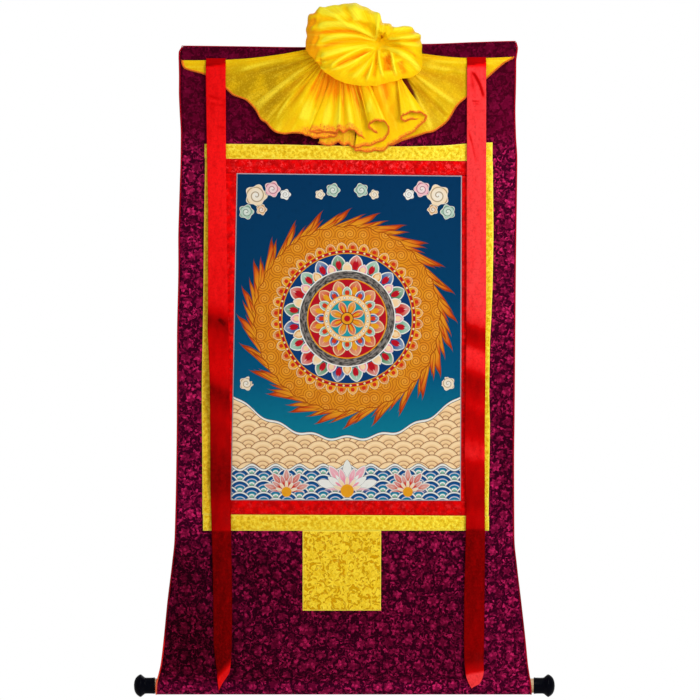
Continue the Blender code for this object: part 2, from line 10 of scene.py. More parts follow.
import bpy
import numpy as np
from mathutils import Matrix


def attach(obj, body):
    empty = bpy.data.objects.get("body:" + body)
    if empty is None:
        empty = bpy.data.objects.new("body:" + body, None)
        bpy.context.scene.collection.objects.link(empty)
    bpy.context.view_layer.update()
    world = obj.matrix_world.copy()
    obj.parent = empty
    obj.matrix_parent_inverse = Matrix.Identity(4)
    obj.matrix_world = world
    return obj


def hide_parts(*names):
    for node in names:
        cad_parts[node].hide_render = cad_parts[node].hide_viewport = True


bl_info = {
    "name": "Hanging Scroll",
    "version": (1, 0, 0),
    "blender": (4, 5, 0),
    "location": "3D Viewport > Sidebar > Scroll",
    "description": "Builds the cloth, frames, veil, ribbons and roller of a hanging scroll",
    "category": "Object",
}

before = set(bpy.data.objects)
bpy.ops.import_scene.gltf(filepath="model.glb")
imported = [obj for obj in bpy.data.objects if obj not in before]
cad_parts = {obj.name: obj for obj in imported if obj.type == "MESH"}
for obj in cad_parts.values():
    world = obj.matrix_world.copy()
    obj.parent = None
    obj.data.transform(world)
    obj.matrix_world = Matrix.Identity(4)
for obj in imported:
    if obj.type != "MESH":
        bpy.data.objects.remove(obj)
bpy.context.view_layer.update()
BODY = "root"
MM = 0.001
TURN = 2 * math.pi
RUMPLE_WAVES = 8


def rows(kind, *table):
    """A table whose rows are of one kind."""
    return tuple(kind(*row) for row in table)


# The cloth: its two long edges, its top edge and the low waves in which it hangs.
CLOTH_THICKNESS = 0.0015
HEM_DEPTH = 0.026
HEM_LAYER_GAP = 0.0005
TOP_SLOPE_FADES_AT = 0.060
WAVES_START, WAVES_FULL = 0.050, 0.240
WAVES_FADE, WAVES_END = 1.000, 1.150
ROLLER_DROP, ROLLER_DEPTH = 1.1827, CLOTH_THICKNESS + HEM_LAYER_GAP / 2
ROLLER_LEFT, ROLLER_RIGHT = -0.3532, 0.3452
WRAP_RADIUS = 0.0156
WRAP_SEAM_RISE = 0.018
SEAM_ALLOWANCE = 0.006
SEAM_SHARES = (0.0, 0.5, 1.0)
HEM_STATIONS, TURN_STATIONS, WRAP_STATIONS = 5, 9, 34
FRONT_STARTS = HEM_STATIONS + TURN_STATIONS
BACK_ENDS = HEM_STATIONS + TURN_STATIONS // 2
CLOTH_COLUMNS, CLOTH_ROWS = 110, 200
BACK_LIT = 0.72
PIPING_RADIUS = 0.0015
PIPING_STARTS = (0.0012, 0.0030, 0.0050, 0.0075, 0.0100)
PIPING_WRAP_STATIONS = 20
TOP_CORD_RADIUS, TOP_CORD_STATIONS, TOP_CORD_SIDES = 0.0008, 160, 8
TOP_CORD_LEFT, TOP_CORD_RIGHT = -0.3045, 0.3125
TOP_CORD_OUT, TOP_CORD_ABOVE = 0.0004, 0.0002
EDGE_TAKEN_LEFT, EDGE_TAKEN_RIGHT = 0.0035, 0.0021
KNOB_GAP = 0.0003  # between a knob and the rod's end
SEAM = 0.0003  # between neighbouring strips

Edge = namedtuple("Edge", "drop left right")
CLOTH_EDGES = rows(
    Edge,
    (0, -0.305, 0.313), (0.012, -0.3105, 0.3158), (0.022, -0.3107, 0.3143), (0.032, -0.3104, 0.3127),
    (0.06, -0.3099, 0.3125), (0.085, -0.3101, 0.312), (0.12, -0.3088, 0.3111), (0.166, -0.3066, 0.3122),
    (0.212, -0.307, 0.3146), (0.26, -0.3085, 0.3141), (0.31, -0.31, 0.3134), (0.36, -0.3112, 0.3128),
    (0.4, -0.311, 0.3122), (0.54, -0.3136, 0.3109), (0.69, -0.314, 0.3095), (0.77, -0.3148, 0.3087),
    (0.91, -0.318, 0.3092), (0.96, -0.323, 0.3138), (1.025, -0.331, 0.3215), (1.1, -0.3385, 0.33),
    (1.145, -0.344, 0.3345), (1.163, -0.3482, 0.3373), (1.18, -0.3524, 0.3398), (1.2, -0.3532, 0.3412),
)
TopEdge = namedtuple("TopEdge", "across rise")
CLOTH_TOP = rows(
    TopEdge,
    (-0.315, -0.002), (-0.2, -0.0032), (-0.08, -0.0048), (0, 0), (0.15, 0.0012), (0.24, 0.0046),
    (0.315, 0.0066),
)
Wave = namedtuple("Wave", "height across down phase")  # cycles for each metre across and down
CLOTH_WAVES = rows(
    Wave,
    (0.0018, 2.3, 0.4, 0.6), (0.0012, -1.1, 1.7, 2.1), (0.0006, 0.9, 2.4, 4.4),
)

# The sewn-on panels, as four corners each.
PANEL_THICKNESS = 0.0010
PANEL_LIFT = 0.0004
PANEL_CELL, PICTURE_CELL = 0.0030, 0.0050
STITCH_INSET, STITCH_LINE_CELL, STITCH_LIFT = 0.0022, 0.02, 0.00015
PICTURE_MIDDLE = (0.0012, 0.0, -0.5400)
EDGE_STATIONS = (0.0, 0.0005, 0.0012, 0.0020, 0.0030)
Corners = namedtuple("Corners", "left_top right_top left_bottom right_bottom")  # (across, drop) each
PICTURE = Corners((-0.2027, 0.2366), (0.2130, 0.2413), (-0.2140, 0.8401), (0.2110, 0.8414))
RED_FRAME = Corners((-0.2345, 0.2096), (0.2410, 0.2146), (-0.2365, 0.8662), (0.2355, 0.8690))
YELLOW_FRAME = Corners((-0.2620, 0.1825), (0.2695, 0.1825), (-0.2650, 0.8965), (0.2630, 0.8965))
DOOR_PATCH = Corners((-0.0810, 0.8968), (0.0640, 0.8968), (-0.0810, 1.0440), (0.0635, 1.0440))

# Soft ridges and troughs along bent lines, in millimetres. A trough's height is negative.
Crease = namedtuple("Crease", "x0 drop0 x1 drop1 bend width height")
STRIP_CREASES = tuple(
    Crease(x, 868, x + 2, 895, 0.5, 2.2, height)
    for x, height in ((-203, 0.9), (-197, -0.6), (-190, 0.9), (-184, -0.6), (-178, 0.8), (-171, 0.6),
                      (-150, 0.4), (96, 0.4), (201, 0.8), (207, -0.5), (150, 0.4))
)
RIBBON_CREASES_LEFT = rows(
    Crease,
    (-258, 39.5, -225, 38.5, 0, 1.6, 0.9), (-256, 92, -232, 100, 1, 2, -0.28),
    (-250, 108, -226, 112, 0.5, 1.8, -0.22), (-254, 101, -240, 104, 0.5, 1.8, 0.5),
    (-244, 150, -226, 152, 0.5, 1.8, -0.25), (-236, 505, -224, 516, 0, 3, -0.6),
)
RIBBON_CREASES_RIGHT = rows(
    Crease,
    (223, 37.5, 257, 36.5, 0, 1.6, 0.9), (231, 47, 253.5, 97, -3, 2.6, -0.8),
    (238, 40, 257, 90, -3, 2.6, 0.8), (229, 47, 234, 80, 0, 3, -0.25), (232, 104, 246, 105, 0, 1.2, -0.6),
    (233, 108, 244, 108.5, 0, 1.2, -0.5), (224, 170, 246, 290, -3, 3, 0.7),
    (226, 160, 240, 260, -3, 2.4, -0.6),
)

# The ribbons. "out" is from the hanging cloth to the ribbon's back, and "bow" is how much further
# forward its middle stands than its edges. "tone" is the painted light and shade of the satin there.
RIBBON_THICKNESS = 0.0007
RIBBON_TURNED_IN = 0.03
TONE_SLANT, FOLD_SLANT = 0.014, -0.006
RIBBON_COLUMNS, RIBBON_ROWS = 20, 430
RibbonRow = namedtuple("RibbonRow", "drop left right out bow")
RIBBON_LEFT = rows(
    RibbonRow,
    (0.0245, -0.2594, -0.223, 0.004, 0), (0.036, -0.2598, -0.2228, 0.0042, 0),
    (0.04, -0.2598, -0.2227, 0.0056, 0.0004), (0.06, -0.2596, -0.2228, 0.006, 0.0006),
    (0.23, -0.2572, -0.2222, 0.0062, 0.001), (0.31, -0.2555, -0.2212, 0.008, 0.001),
    (0.47, -0.2557, -0.219, 0.011, 0.001), (0.525, -0.2564, -0.2178, 0.0092, 0.0015),
    (0.57, -0.2545, -0.217, 0.01, 0.002), (0.646, -0.2522, -0.2157, 0.013, 0.003),
    (0.72, -0.2516, -0.2148, 0.007, 0.004), (0.803, -0.2513, -0.2141, 0.0085, 0.004),
    (0.855, -0.2502, -0.2133, 0.0035, 0.0045), (0.895, -0.2491, -0.2128, 0.0075, 0.0045),
    (0.95, -0.2474, -0.212, 0.0055, 0.0045), (1.025, -0.2461, -0.211, 0.004, 0.0045),
    (1.1, -0.2456, -0.2116, 0.0022, 0.0035), (1.13, -0.2426, -0.2126, 0.005, 0.0025),
    (1.155, -0.2394, -0.215, 0.012, 0.0015), (1.165, -0.2386, -0.22, 0.0145, 0.001),
    (1.174, -0.2378, -0.2262, 0.0152, 0.0008), (1.183, -0.2366, -0.2315, 0.0156, 0.0004),
    (1.1905, -0.2355, -0.2346, 0.0154, 0),
)
RIBBON_RIGHT = rows(
    RibbonRow,
    (0.0225, 0.222, 0.2575, 0.0046, 0), (0.034, 0.2222, 0.258, 0.005, 0),
    (0.038, 0.2222, 0.258, 0.0058, 0.0004), (0.06, 0.2222, 0.2578, 0.0062, 0.001),
    (0.19, 0.222, 0.2578, 0.007, 0.001), (0.47, 0.2213, 0.2576, 0.011, 0.001),
    (0.54, 0.2207, 0.2566, 0.009, 0.0015), (0.65, 0.2192, 0.256, 0.0115, 0.002),
    (0.72, 0.2178, 0.2552, 0.008, 0.0025), (0.8, 0.2186, 0.2553, 0.0095, 0.0025),
    (0.86, 0.2202, 0.2555, 0.0045, 0.0035), (0.895, 0.22, 0.2556, 0.0075, 0.0035),
    (0.95, 0.219, 0.2554, 0.0055, 0.004), (1.025, 0.217, 0.2547, 0.004, 0.004),
    (1.115, 0.2168, 0.2538, 0.0024, 0.0035), (1.143, 0.2178, 0.2532, 0.0085, 0.002),
    (1.156, 0.2192, 0.2535, 0.0125, 0.0012), (1.166, 0.2208, 0.2514, 0.0142, 0.001),
    (1.179, 0.2259, 0.245, 0.0153, 0.0006), (1.187, 0.23, 0.2312, 0.0156, 0),
)
Tone = namedtuple("Tone", "drop tone")
SATIN_SHADING_LEFT = rows(
    Tone,
    (0.0245, 0.46), (0.036, 0.5), (0.0385, 0.96), (0.044, 0.9), (0.11, 0.84), (0.18, 0.95), (0.26, 1),
    (0.38, 0.92), (0.47, 0.86), (0.49, 0.68), (0.512, 0.26), (0.534, 0.5), (0.556, 0.62), (0.6, 0.72),
    (0.622, 0.6), (0.642, 0.2), (0.656, 0.26), (0.688, 0.46), (0.711, 0.36), (0.733, 0.42), (0.755, 0.28),
    (0.799, 0.17), (0.821, 0.19), (0.844, 0.34), (0.866, 0.44), (0.896, 0.46), (0.8985, 0.1), (1.024, 0.06),
    (1.1, 0.04), (1.14, 0.08), (1.154, 0.55), (1.16, 0.86), (1.19, 0.84),
)
SATIN_SHADING_RIGHT = rows(
    Tone,
    (0.0225, 0.46), (0.035, 0.5), (0.0365, 1), (0.05, 0.95), (0.2, 1), (0.47, 0.97), (0.498, 0.92),
    (0.512, 0.82), (0.534, 0.4), (0.554, 0.6), (0.572, 1), (0.59, 0.95), (0.622, 0.38), (0.644, 0.5),
    (0.666, 0.66), (0.688, 0.46), (0.711, 0.52), (0.733, 0.72), (0.755, 0.85), (0.777, 0.55), (0.799, 0.46),
    (0.822, 0.38), (0.843, 0.36), (0.87, 0.55), (0.893, 0.44), (0.8955, 0.16), (1, 0.13), (1.043, 0.18),
    (1.132, 0.22), (1.143, 0.4), (1.158, 0.75), (1.161, 1), (1.186, 1),
)

# The veil: a fan of folds in order along its hem, its gather, and the creases laid over them.
Fold = namedtuple("Fold", "hem_x hem_drop hem_out sag")  # millimetres
VEIL_FOLDS = rows(
    Fold,
    (-304, 28.2, 1.7, 8), (-303.1, 34.7, 2.6, 8), (-299.6, 41, 1.7, 7), (-291.9, 44.9, 1.8, 7),
    (-263.1, 53, 1.9, 6), (-240.9, 64.6, 2, 5), (-222.4, 79.4, 2.2, 4), (-209.5, 91.4, 4.5, 3),
    (-196.6, 96, 5.5, 3), (-185.5, 100.6, 4.5, 2), (-176.3, 108.9, 6, 1), (-167.1, 120, 11, 0),
    (-157.8, 136.6, 6, 0), (-148.6, 142.1, 5.5, 0), (-139.4, 153.2, 9.5, 0), (-129.2, 160.6, 13, 0),
    (-113.5, 163.4, 8, 0), (-98.8, 161.5, 7.5, 0), (-84, 162.8, 7.5, 0), (-74.8, 165.4, 7.3, 0),
    (-63.7, 169.5, 7, 0), (-50.8, 171.3, 6.9, 0), (-36, 169.6, 6.8, 0), (-23.1, 168.5, 6.9, 0),
    (-16.4, 163.2, 7.1, 0), (-28.6, 162.1, 7.4, 0), (-52.6, 160.6, 7.8, 0), (-68.3, 159.3, 8.1, 0),
    (-54.5, 157.5, 8.5, 0), (-37.8, 159.1, 8.8, 0), (-22.2, 161.3, 9.2, 0), (-13.8, 156.2, 13.5, 0),
    (-3.7, 161, 11.5, 0), (7.4, 154.3, 16, 0), (16.2, 159.5, 14, 0), (24.9, 167.1, 12, 0),
    (35.1, 172.8, 10.5, 0), (47.1, 175.2, 9.5, 0), (58.1, 173.9, 10, 0), (63.7, 169.5, 12, 0),
    (56.3, 161.7, 15, 0), (46.2, 156.5, 19, 0), (41.2, 150.4, 23, 0), (45.2, 143.6, 27, 0),
    (55.7, 139.9, 30, 0), (66.5, 140.8, 30.5, 0), (74.8, 146.4, 28.5, 0), (78.1, 155.8, 24.5, 0),
    (75.9, 166.1, 20, 0), (67.4, 175, 16.5, 0), (50.8, 182.4, 13.5, 0), (32.3, 186.3, 11, 0),
    (18.5, 188.3, 9, 0), (15.7, 192.9, 7.5, 0), (26.8, 195.7, 6.8, 0), (47.1, 195.3, 7, 0),
    (67.4, 193.8, 8, 0), (81.2, 183.9, 10, 0), (102.5, 171.3, 12.5, 0), (124.6, 158.4, 15.5, 0),
    (141.2, 143.1, 18.5, 0), (147.7, 133.3, 21.5, 0), (142.1, 127.7, 25, 0), (131.1, 124.4, 28, 0),
    (117.2, 124.8, 29, 0), (106.1, 129.2, 27, 0), (100.6, 134.8, 24, 0), (104.3, 139.9, 21, 0),
    (115.4, 138.5, 18.5, 0), (130.1, 135.7, 16.5, 0), (144, 135.9, 14.5, 0), (139.4, 144.9, 12.5, 0),
    (122.8, 155.6, 10.5, 0), (102.5, 167.6, 8.8, 0), (84, 179.1, 7.2, 0), (83.1, 184.6, 6, 0),
    (100.6, 176.8, 4.8, 0), (117.2, 171.3, 4.5, 0), (132, 166.5, 7, 0), (146.8, 161.7, 9, 0),
    (159.7, 159.1, 6.5, 0), (172.6, 151, 4.5, 0), (183.7, 142.1, 4.2, 1), (192, 131.1, 5.5, 2),
    (200.3, 116.3, 5, 3), (207.7, 107.1, 4, 3), (220.6, 96, 2.4, 4), (239.1, 78.5, 2.1, 4),
    (259.4, 60, 2, 5), (277.8, 43.4, 1.9, 6), (292.6, 31.4, 1.8, 6), (305.5, 24.6, 1.7, 7),
    (308.3, 21.8, 1.7, 8),
)
Gather = namedtuple("Gather", "fold x drop out")  # millimetres
VEIL_GATHER = rows(
    Gather,
    (0, -46, 4.1, 30), (6, -43.9, 16.1, 22), (11, -41.5, 24.9, 21), (15, -38.8, 29.5, 22),
    (19, -32.3, 33.2, 20), (23, -24.9, 36.6, 18), (27, -19.4, 38.8, 20), (31, -10.2, 41.5, 21),
    (34, -2.8, 43, 20), (37, 4.6, 43.9, 19), (40, 9.2, 44.3, 20), (44, 23.1, 44.3, 23),
    (48, 32.3, 43.9, 22), (52, 36, 43.6, 18), (56, 43.5, 43, 18), (60, 81, 43.6, 20), (64, 91.5, 43.5, 22),
    (68, 91, 41.9, 18), (72, 78, 33.2, 12), (76, 74, 29.5, 9), (80, 75.7, 24, 8), (84, 81.2, 18.5, 8),
    (88, 85.8, 12.9, 10), (92, 91, 7.9, 11),
)
PUFF_CREASES = rows(
    Crease,
    (-58.1, -64.6, -0.9, -36.9, -2.8, 4.1, 5), (-60, -29.5, 54.5, -11.1, -14.8, 5.5, 7),
    (-54.5, -46.2, 47.1, -22.2, -9.2, 5.5, -4), (-46.2, -5, 53.5, -6.5, -9.8, 4.8, 6),
    (-56.3, -18.5, 50.8, -10.2, -7.9, 3.7, -5), (-50.8, 7.4, 50.8, -3.7, -5.5, 5.5, -4),
    (-50.8, 22.2, 47.1, 0, 0, 6.3, 4), (-47.1, 31.4, 43.4, 4.6, 0, 3.3, -3.5),
    (-27.7, 40.6, 48.9, 5.5, -6.5, 3, 5), (-21.2, 41.5, 45.2, 10.2, -1.1, 3.7, -7),
    (-26.8, 47.1, 48.9, 10.2, 5.5, 3.1, 5), (-56.3, 27.7, -36, 33.2, 1.8, 1.8, 2.5),
    (-52.6, 36, -36, 46.2, 1.8, 1.8, 2.5), (-47.1, 25.8, -50.8, 46.2, 0, 2.2, -2.5),
    (-2.8, 51.7, 47.1, 14.8, 5.5, 4.4, -3), (10.2, 62.8, 50.8, 14.8, 3.7, 5.2, 3),
    (26.8, 66.5, 52.6, 16.6, 1.8, 3.7, -3.5), (36.9, 66.5, 53.5, 12.9, 0.9, 3.3, 4),
    (48.9, 64.6, 56.3, 14.8, 0, 3.7, -4), (66.5, 59.1, 59.1, 9.2, -1.8, 3.3, 6),
    (76.6, 51.7, 72.9, 18.5, 0, 7.8, -11), (91.4, 57.2, 83.1, 14.8, -1.8, 3.3, 6),
    (107.1, 59.1, 96.9, 31.4, 0, 6.6, -7), (63.7, 3.7, 133.8, 48, -7.4, 5.5, 6),
    (72.9, 0.9, 135.7, 27.7, -5.5, 4.4, -4), (71.1, -2.8, 137.5, 3.7, 0, 4.8, 3),
    (72.9, -6.5, 135.7, -6.5, 0.9, 3, -4), (74.8, -10.2, 135.7, -15.7, 2.8, 4.1, 5),
    (74.8, -16.6, 130.1, -24, 0, 3.3, -3), (82.1, -25.8, 124.6, -28.6, 0, 4.6, 4),
    (59.1, -3.7, 61.8, -42.5, 0, 4.1, -3.6), (62.8, -5.5, 72.9, -31.4, 0, 4.1, -2.8),
    (65.5, -12.9, 67.4, -35.1, 0, 2.2, 3), (55.4, -9.2, 54.5, -57.2, 3.7, 4.1, 6),
    (8.3, -42.5, -4.6, -70.1, 0, 5.5, -3), (19.4, -40.6, 12, -73.8, 0, 7.4, 2.5),
    (41.5, -31.4, 36, -62.8, 0, 9.2, -2.5), (-52.6, -57.2, -15.7, -71.1, -2.8, 5.5, 3),
)
WING_CREASES = rows(
    Crease,
    (-69.2, 20.3, -200.3, 48, 3.7, 5.9, 3), (-65.5, 27.7, -222.4, 68.3, 1.8, 5.5, -2.2),
    (-60, 33.2, -167.1, 110.8, 2.8, 4.8, 4.5), (-60, 42.5, -156, 125.5, 2.8, 4.8, -4),
    (-65.5, 46.2, -130.1, 138.5, 3.7, 3.3, 2.5), (-74.8, 72, -117.2, 156.9, 3.7, 6.5, -2),
    (-65.5, 83.1, -85.8, 142.1, 0, 9.2, 3), (-45.2, 72, -52.6, 153.2, 0, 7.4, -2),
    (128.3, 31.4, 292.6, 35.1, -1.8, 5.5, 1.5), (135.7, 49.8, 220.6, 72, 0, 7.4, -2),
    (128.3, 57.2, 202.1, 108.9, 0, 5.5, 1.5), (126.5, 75.7, 185.5, 132.9, 0, 4.8, -2.2),
    (117.2, 79.4, 157.8, 156.9, -1.8, 5.5, 2.2), (144.9, 38.8, 220.6, 49.8, 0, 5.5, 1.6),
    (194.8, 46.2, 213.2, 86.8, 0, 9.2, -1.6),
)
PlyHem = namedtuple("PlyHem", "x drop out")  # millimetres
PLY_HEM = rows(
    PlyHem,
    (-51.1, 179.6, 3), (-45.2, 182, 4.4), (-37.8, 184.2, 3), (-30.5, 184.9, 4.4), (-23.1, 182.4, 3.2),
    (-15.7, 178.3, 4.6), (-10.2, 181.7, 3), (-3.7, 184.6, 4.4), (2.8, 182, 3.2), (8.3, 186.1, 4.4),
    (14.8, 189.4, 3.4), (17.5, 190.1, 3.2),
)
HEM_TINT, HEM_SLANT = 0.90, 0.45
HEM_THREAD_RADIUS, HEM_BELOW = 0.00042, 0.0003
Slit = namedtuple("Slit", "x0 drop0 x1 drop1")  # millimetres
SLIT = Slit(111.7, 64.6, 141.2, 112.6)  # painted dark slit beside the front folds: shade and dark cloth
# Lighter patches of painted sheen.
Sheen = namedtuple("Sheen", "x drop half_width half_length lean amount")  # millimetres
VEIL_SHEEN = rows(
    Sheen,
    (-71, 121, 20, 30, 0.16, 0.6), (-36, 131, 9, 40, -0.16, 0.6), (-16, 128, 6, 40, -0.05, 0.5),
    (8, 120, 6, 42, 0.05, 0.45), (84, 98, 8, 38, -0.45, 0.55), (42, 110, 6, 34, -0.3, 0.45),
)
VEIL_THICKNESS = 0.0006
VEIL_CLEARANCE = 0.0012
VEIL_ROWS = 46
VEIL_COLUMNS_A_FOLD, PLY_COLUMNS_A_PLACE = 4, 5
VEIL_ROW_EASE, VEIL_OUT_EASE = 0.92, 2.6
VEIL_EXTRA_ROWS = (0.991, 0.983, 0.973, 0.961, 0.950)  # closer rows along the hem
FRONT_FOLDS = (14, 19, 76, 79)  # fold numbers between which the wings end and start again
# Fold depths that give the full painted shade, and the smoothing passes that find them.
HOLLOW_DEPTH, PUFF_HOLLOW_DEPTH, HOLLOW_PASSES = 0.0045, 0.0065, 26
SHEEN_UNEVEN = 22.0
PLY_TOP_LEFT, PLY_TOP_WIDTH, PLY_TOP_DROP, PLY_TOP_OUT = -0.028, 0.038, 0.040, 0.0105

KNOT_X, KNOT_DROP = 0.058, 0.000
PUFF_COLUMNS, PUFF_RINGS = 336, 74
PUFF_FROM, PUFF_TO = 0.03, 0.86
PUFF_BACK = (0.880, 0.900, 0.920, 0.940, 0.960, 0.980, 0.996)
PUFF_PLEATS = 46
Outline = namedtuple("Outline", "angle reach")  # degrees, counter-clockwise from +X as seen from the front
PUFF_OUTLINE = rows(
    Outline,
    (0, 0.08), (12, 0.0785), (22, 0.0715), (31, 0.06), (37, 0.052), (45, 0.043), (61, 0.044), (75, 0.04),
    (90, 0.056), (104, 0.068), (128, 0.096), (137, 0.104), (144, 0.113), (149, 0.121), (153, 0.132),
    (158, 0.1375), (165, 0.1355), (175, 0.133), (184, 0.133), (192, 0.121), (208, 0.11), (227, 0.095),
    (248, 0.083), (265, 0.077), (283, 0.073), (303, 0.076), (320, 0.089), (331, 0.091), (345, 0.085),
    (360, 0.08),
)
Section = namedtuple("Section", "along reach out")  # from the knot over the front to the middle of the back
PUFF_SECTION = rows(
    Section,
    (0, 0, 0.034), (0.08, 0.12, 0.034), (0.18, 0.3, 0.05), (0.32, 0.56, 0.068), (0.46, 0.8, 0.064),
    (0.58, 0.95, 0.047), (0.66, 1, 0.031), (0.76, 0.94, 0.015), (0.86, 0.74, 0.005), (0.93, 0.45, 0.0005),
    (1, 0, 0.0003),
)

# The knobs' outer profile, from the end that meets the roller.
KnobRing = namedtuple("KnobRing", "length radius")
KNOB_RINGS = rows(
    KnobRing,
    (0, 0.014), (0.0004, 0.015), (0.0012, 0.0154), (0.0024, 0.0151), (0.006, 0.0149), (0.011, 0.0148),
    (0.015, 0.0148), (0.0185, 0.0152), (0.0202, 0.0164), (0.0216, 0.0174), (0.023, 0.0186),
    (0.0243, 0.0197), (0.0254, 0.0205), (0.0266, 0.0209), (0.0278, 0.0207), (0.0292, 0.02), (0.033, 0.0172),
    (0.0365, 0.0125), (0.0385, 0.006), (0.039, 0),
)
KNOB_SEGMENTS, KNOB_FINE_RINGS = 72, 70


# ---- curves and surfaces

def curve_value(keys, values, at):
    """The value at each given place of a smooth curve through the values at the keys, without overshoot."""
    spans = np.diff(keys)
    rates = np.diff(values) / spans
    slopes = np.zeros(len(keys))
    product = rates[:-1] * rates[1:]
    bends = product > 0
    slopes[1:-1][bends] = 2 * product[bends] / (rates[:-1] + rates[1:])[bends]
    at = np.clip(at, keys[0], keys[-1])
    cell = np.clip(np.searchsorted(keys, at, side="right") - 1, 0, len(keys) - 2)
    part = (at - keys[cell]) / spans[cell]
    rest = 1 - part
    ends = values[cell] * (1 + 2 * part) * rest**2 + values[cell + 1] * (1 + 2 * rest) * part**2
    pulls = slopes[cell] * part * rest**2 - slopes[cell + 1] * rest * part**2
    return ends + pulls * spans[cell]


def table_value(table, column, at):
    """A column of a table at the given values of its first column."""
    keys = np.array([row[0] for row in table], float)
    values = np.array([getattr(row, column) for row in table], float)
    return curve_value(keys, values, at)


def round_curve(values, places):
    """A rounder curve through evenly numbered values, as a soft cord laid through pins would run."""
    values = np.asarray(values, float)
    padded = np.concatenate([[2 * values[0] - values[1]], values, [2 * values[-1] - values[-2]]])
    cell = np.clip(np.floor(places).astype(int), 0, len(values) - 2)
    part = places - cell
    before, start, end, after = (padded[cell + step] for step in range(4))
    slope_start, slope_end = (end - before) / 2, (after - start) / 2
    rest = 1 - part
    return (
        start * (1 + 2 * part) * rest**2 + end * (1 + 2 * rest) * part**2
        + slope_start * part * rest**2 - slope_end * rest * part**2
    )


def eased(start, end, value):
    """0 before start and 1 after end, with a soft step between them."""
    part = np.clip((value - start) / (end - start), 0, 1)
    return part * part * (3 - 2 * part)


def rumple(u, v, size, seed):
    """Soft unevenness between about -1 and 1, from a few waves of about the given size."""
    chance = np.random.default_rng(seed)
    total = 0
    for _ in range(RUMPLE_WAVES):
        angle, length = chance.uniform(0, math.pi), size * chance.uniform(0.6, 1.6)
        along = u * math.cos(angle) + v * math.sin(angle)
        total = total + np.sin(along * TURN / length + chance.uniform(0, TURN))
    return total / (RUMPLE_WAVES / 2)


def between(rise, full, fade, end, value):
    """1 from full to fade, and 0 before rise and after end, with soft steps."""
    return eased(rise, full, value) * (1 - eased(fade, end, value))


def beside_line(x, drop, x0, drop0, x1, drop1):
    """Where places lie against a line: as a share of the way along it, and how far to its side. The
    line's length comes third."""
    length = math.hypot(x1 - x0, drop1 - drop0)
    right, down = (x1 - x0) / length, (drop1 - drop0) / length
    along = ((x - x0) * right + (drop - drop0) * down) / length
    return along, (drop - drop0) * right - (x - x0) * down, length


def creased(x, drop, creases):
    """The height of soft ridges and troughs, each along a bent line that fades out at both ends."""
    total = np.zeros(np.broadcast(x, drop).shape)
    for crease in creases:
        *line, bend, width, height = (value * MM for value in crease)
        along, aside, _ = beside_line(x, drop, *line)
        middle = np.clip(along, 0, 1)
        aside = aside - bend * 4 * middle * (1 - middle)
        total = total + height * between(-0.10, 0.16, 0.84, 1.10, along) * np.exp(-((aside / width) ** 2))
    return total


def cloth_out(x, drop):
    """How far the hanging cloth's front stands out from the plane y = 0."""
    waves = sum(w.height * np.sin(TURN * (w.across * x + w.down * drop) + w.phase) for w in CLOTH_WAVES)
    return between(WAVES_START, WAVES_FULL, WAVES_FADE, WAVES_END, drop) * waves


def placed(x, out, drop):
    """Points as an array of (x, y, z), from arrays of places across, out and down."""
    return np.stack(np.broadcast_arrays(x, -np.asarray(out), -np.asarray(drop)), axis=-1)


def smoothed(values, passes, both_ways=False):
    """The values of a grid evened out along its rows, and along its columns too if both ways are wanted."""
    soft = values.copy()
    for _ in range(passes):
        soft[:, 1:-1] = (soft[:, :-2] + 2 * soft[:, 1:-1] + soft[:, 2:]) / 4
        if both_ways:
            soft[1:-1] = (soft[:-2] + 2 * soft[1:-1] + soft[2:]) / 4
    return soft


def path_lengths(points, axis):
    """How far along the given axis of a grid each point lies, over the surface."""
    steps = np.linalg.norm(np.diff(points, axis=axis), axis=-1)
    start = np.zeros_like(np.take(steps, [0], axis=axis))
    return np.concatenate([start, np.cumsum(steps, axis=axis)], axis=axis)


def grid_normals(points, around=False):
    """The front normals of a grid of points."""
    down = np.gradient(points, axis=0)
    if around:
        across = (np.roll(points, -1, axis=1) - np.roll(points, 1, axis=1)) / 2
    else:
        across = np.gradient(points, axis=1)
    normals = np.cross(down, across)
    return normals / np.maximum(np.linalg.norm(normals, axis=-1, keepdims=True), 1e-12)


# ---- making objects

Grid = namedtuple("Grid", "points around capped values")


def cloth_grid(points, around=False, capped=False, **values):
    """A grid of points for cloth_mesh, with named values at its points. A capped grid's first row is
    closed at its middle."""
    return Grid(points, around, capped, values)


def flat_places(points):
    """Where each point of a grid lies on the flat cloth."""
    across = path_lengths(points, 1)
    middle = points.shape[1] // 2
    across = across - across[:, middle:middle + 1] + points[:, middle:middle + 1, 0]
    return np.stack([across, -path_lengths(points, 0)], axis=-1)


def grid_faces(rows_down, columns, around, start=0):
    """The four-sided faces between a grid's points, each from its top left point down and round."""
    r, c = np.meshgrid(np.arange(rows_down - 1), np.arange(columns - (not around)), indexing="ij")
    right = (c + 1) % columns
    upper, lower = r * columns, (r + 1) * columns
    cells = np.stack([upper + c, lower + c, lower + right, upper + right])
    return (start + cells.reshape(4, -1).T).tolist()


def round_faces(rings, sides):
    """The four-sided faces between closed rings of points, each from its first point round the ring."""
    return [cell[:1] + cell[:0:-1] for cell in grid_faces(rings, sides, True)]


def new_mesh(name, points, faces):
    mesh = bpy.data.meshes.new(name)
    mesh.from_pydata(np.reshape(points, (-1, 3)).tolist(), [], faces)
    mesh.shade_smooth()
    return mesh


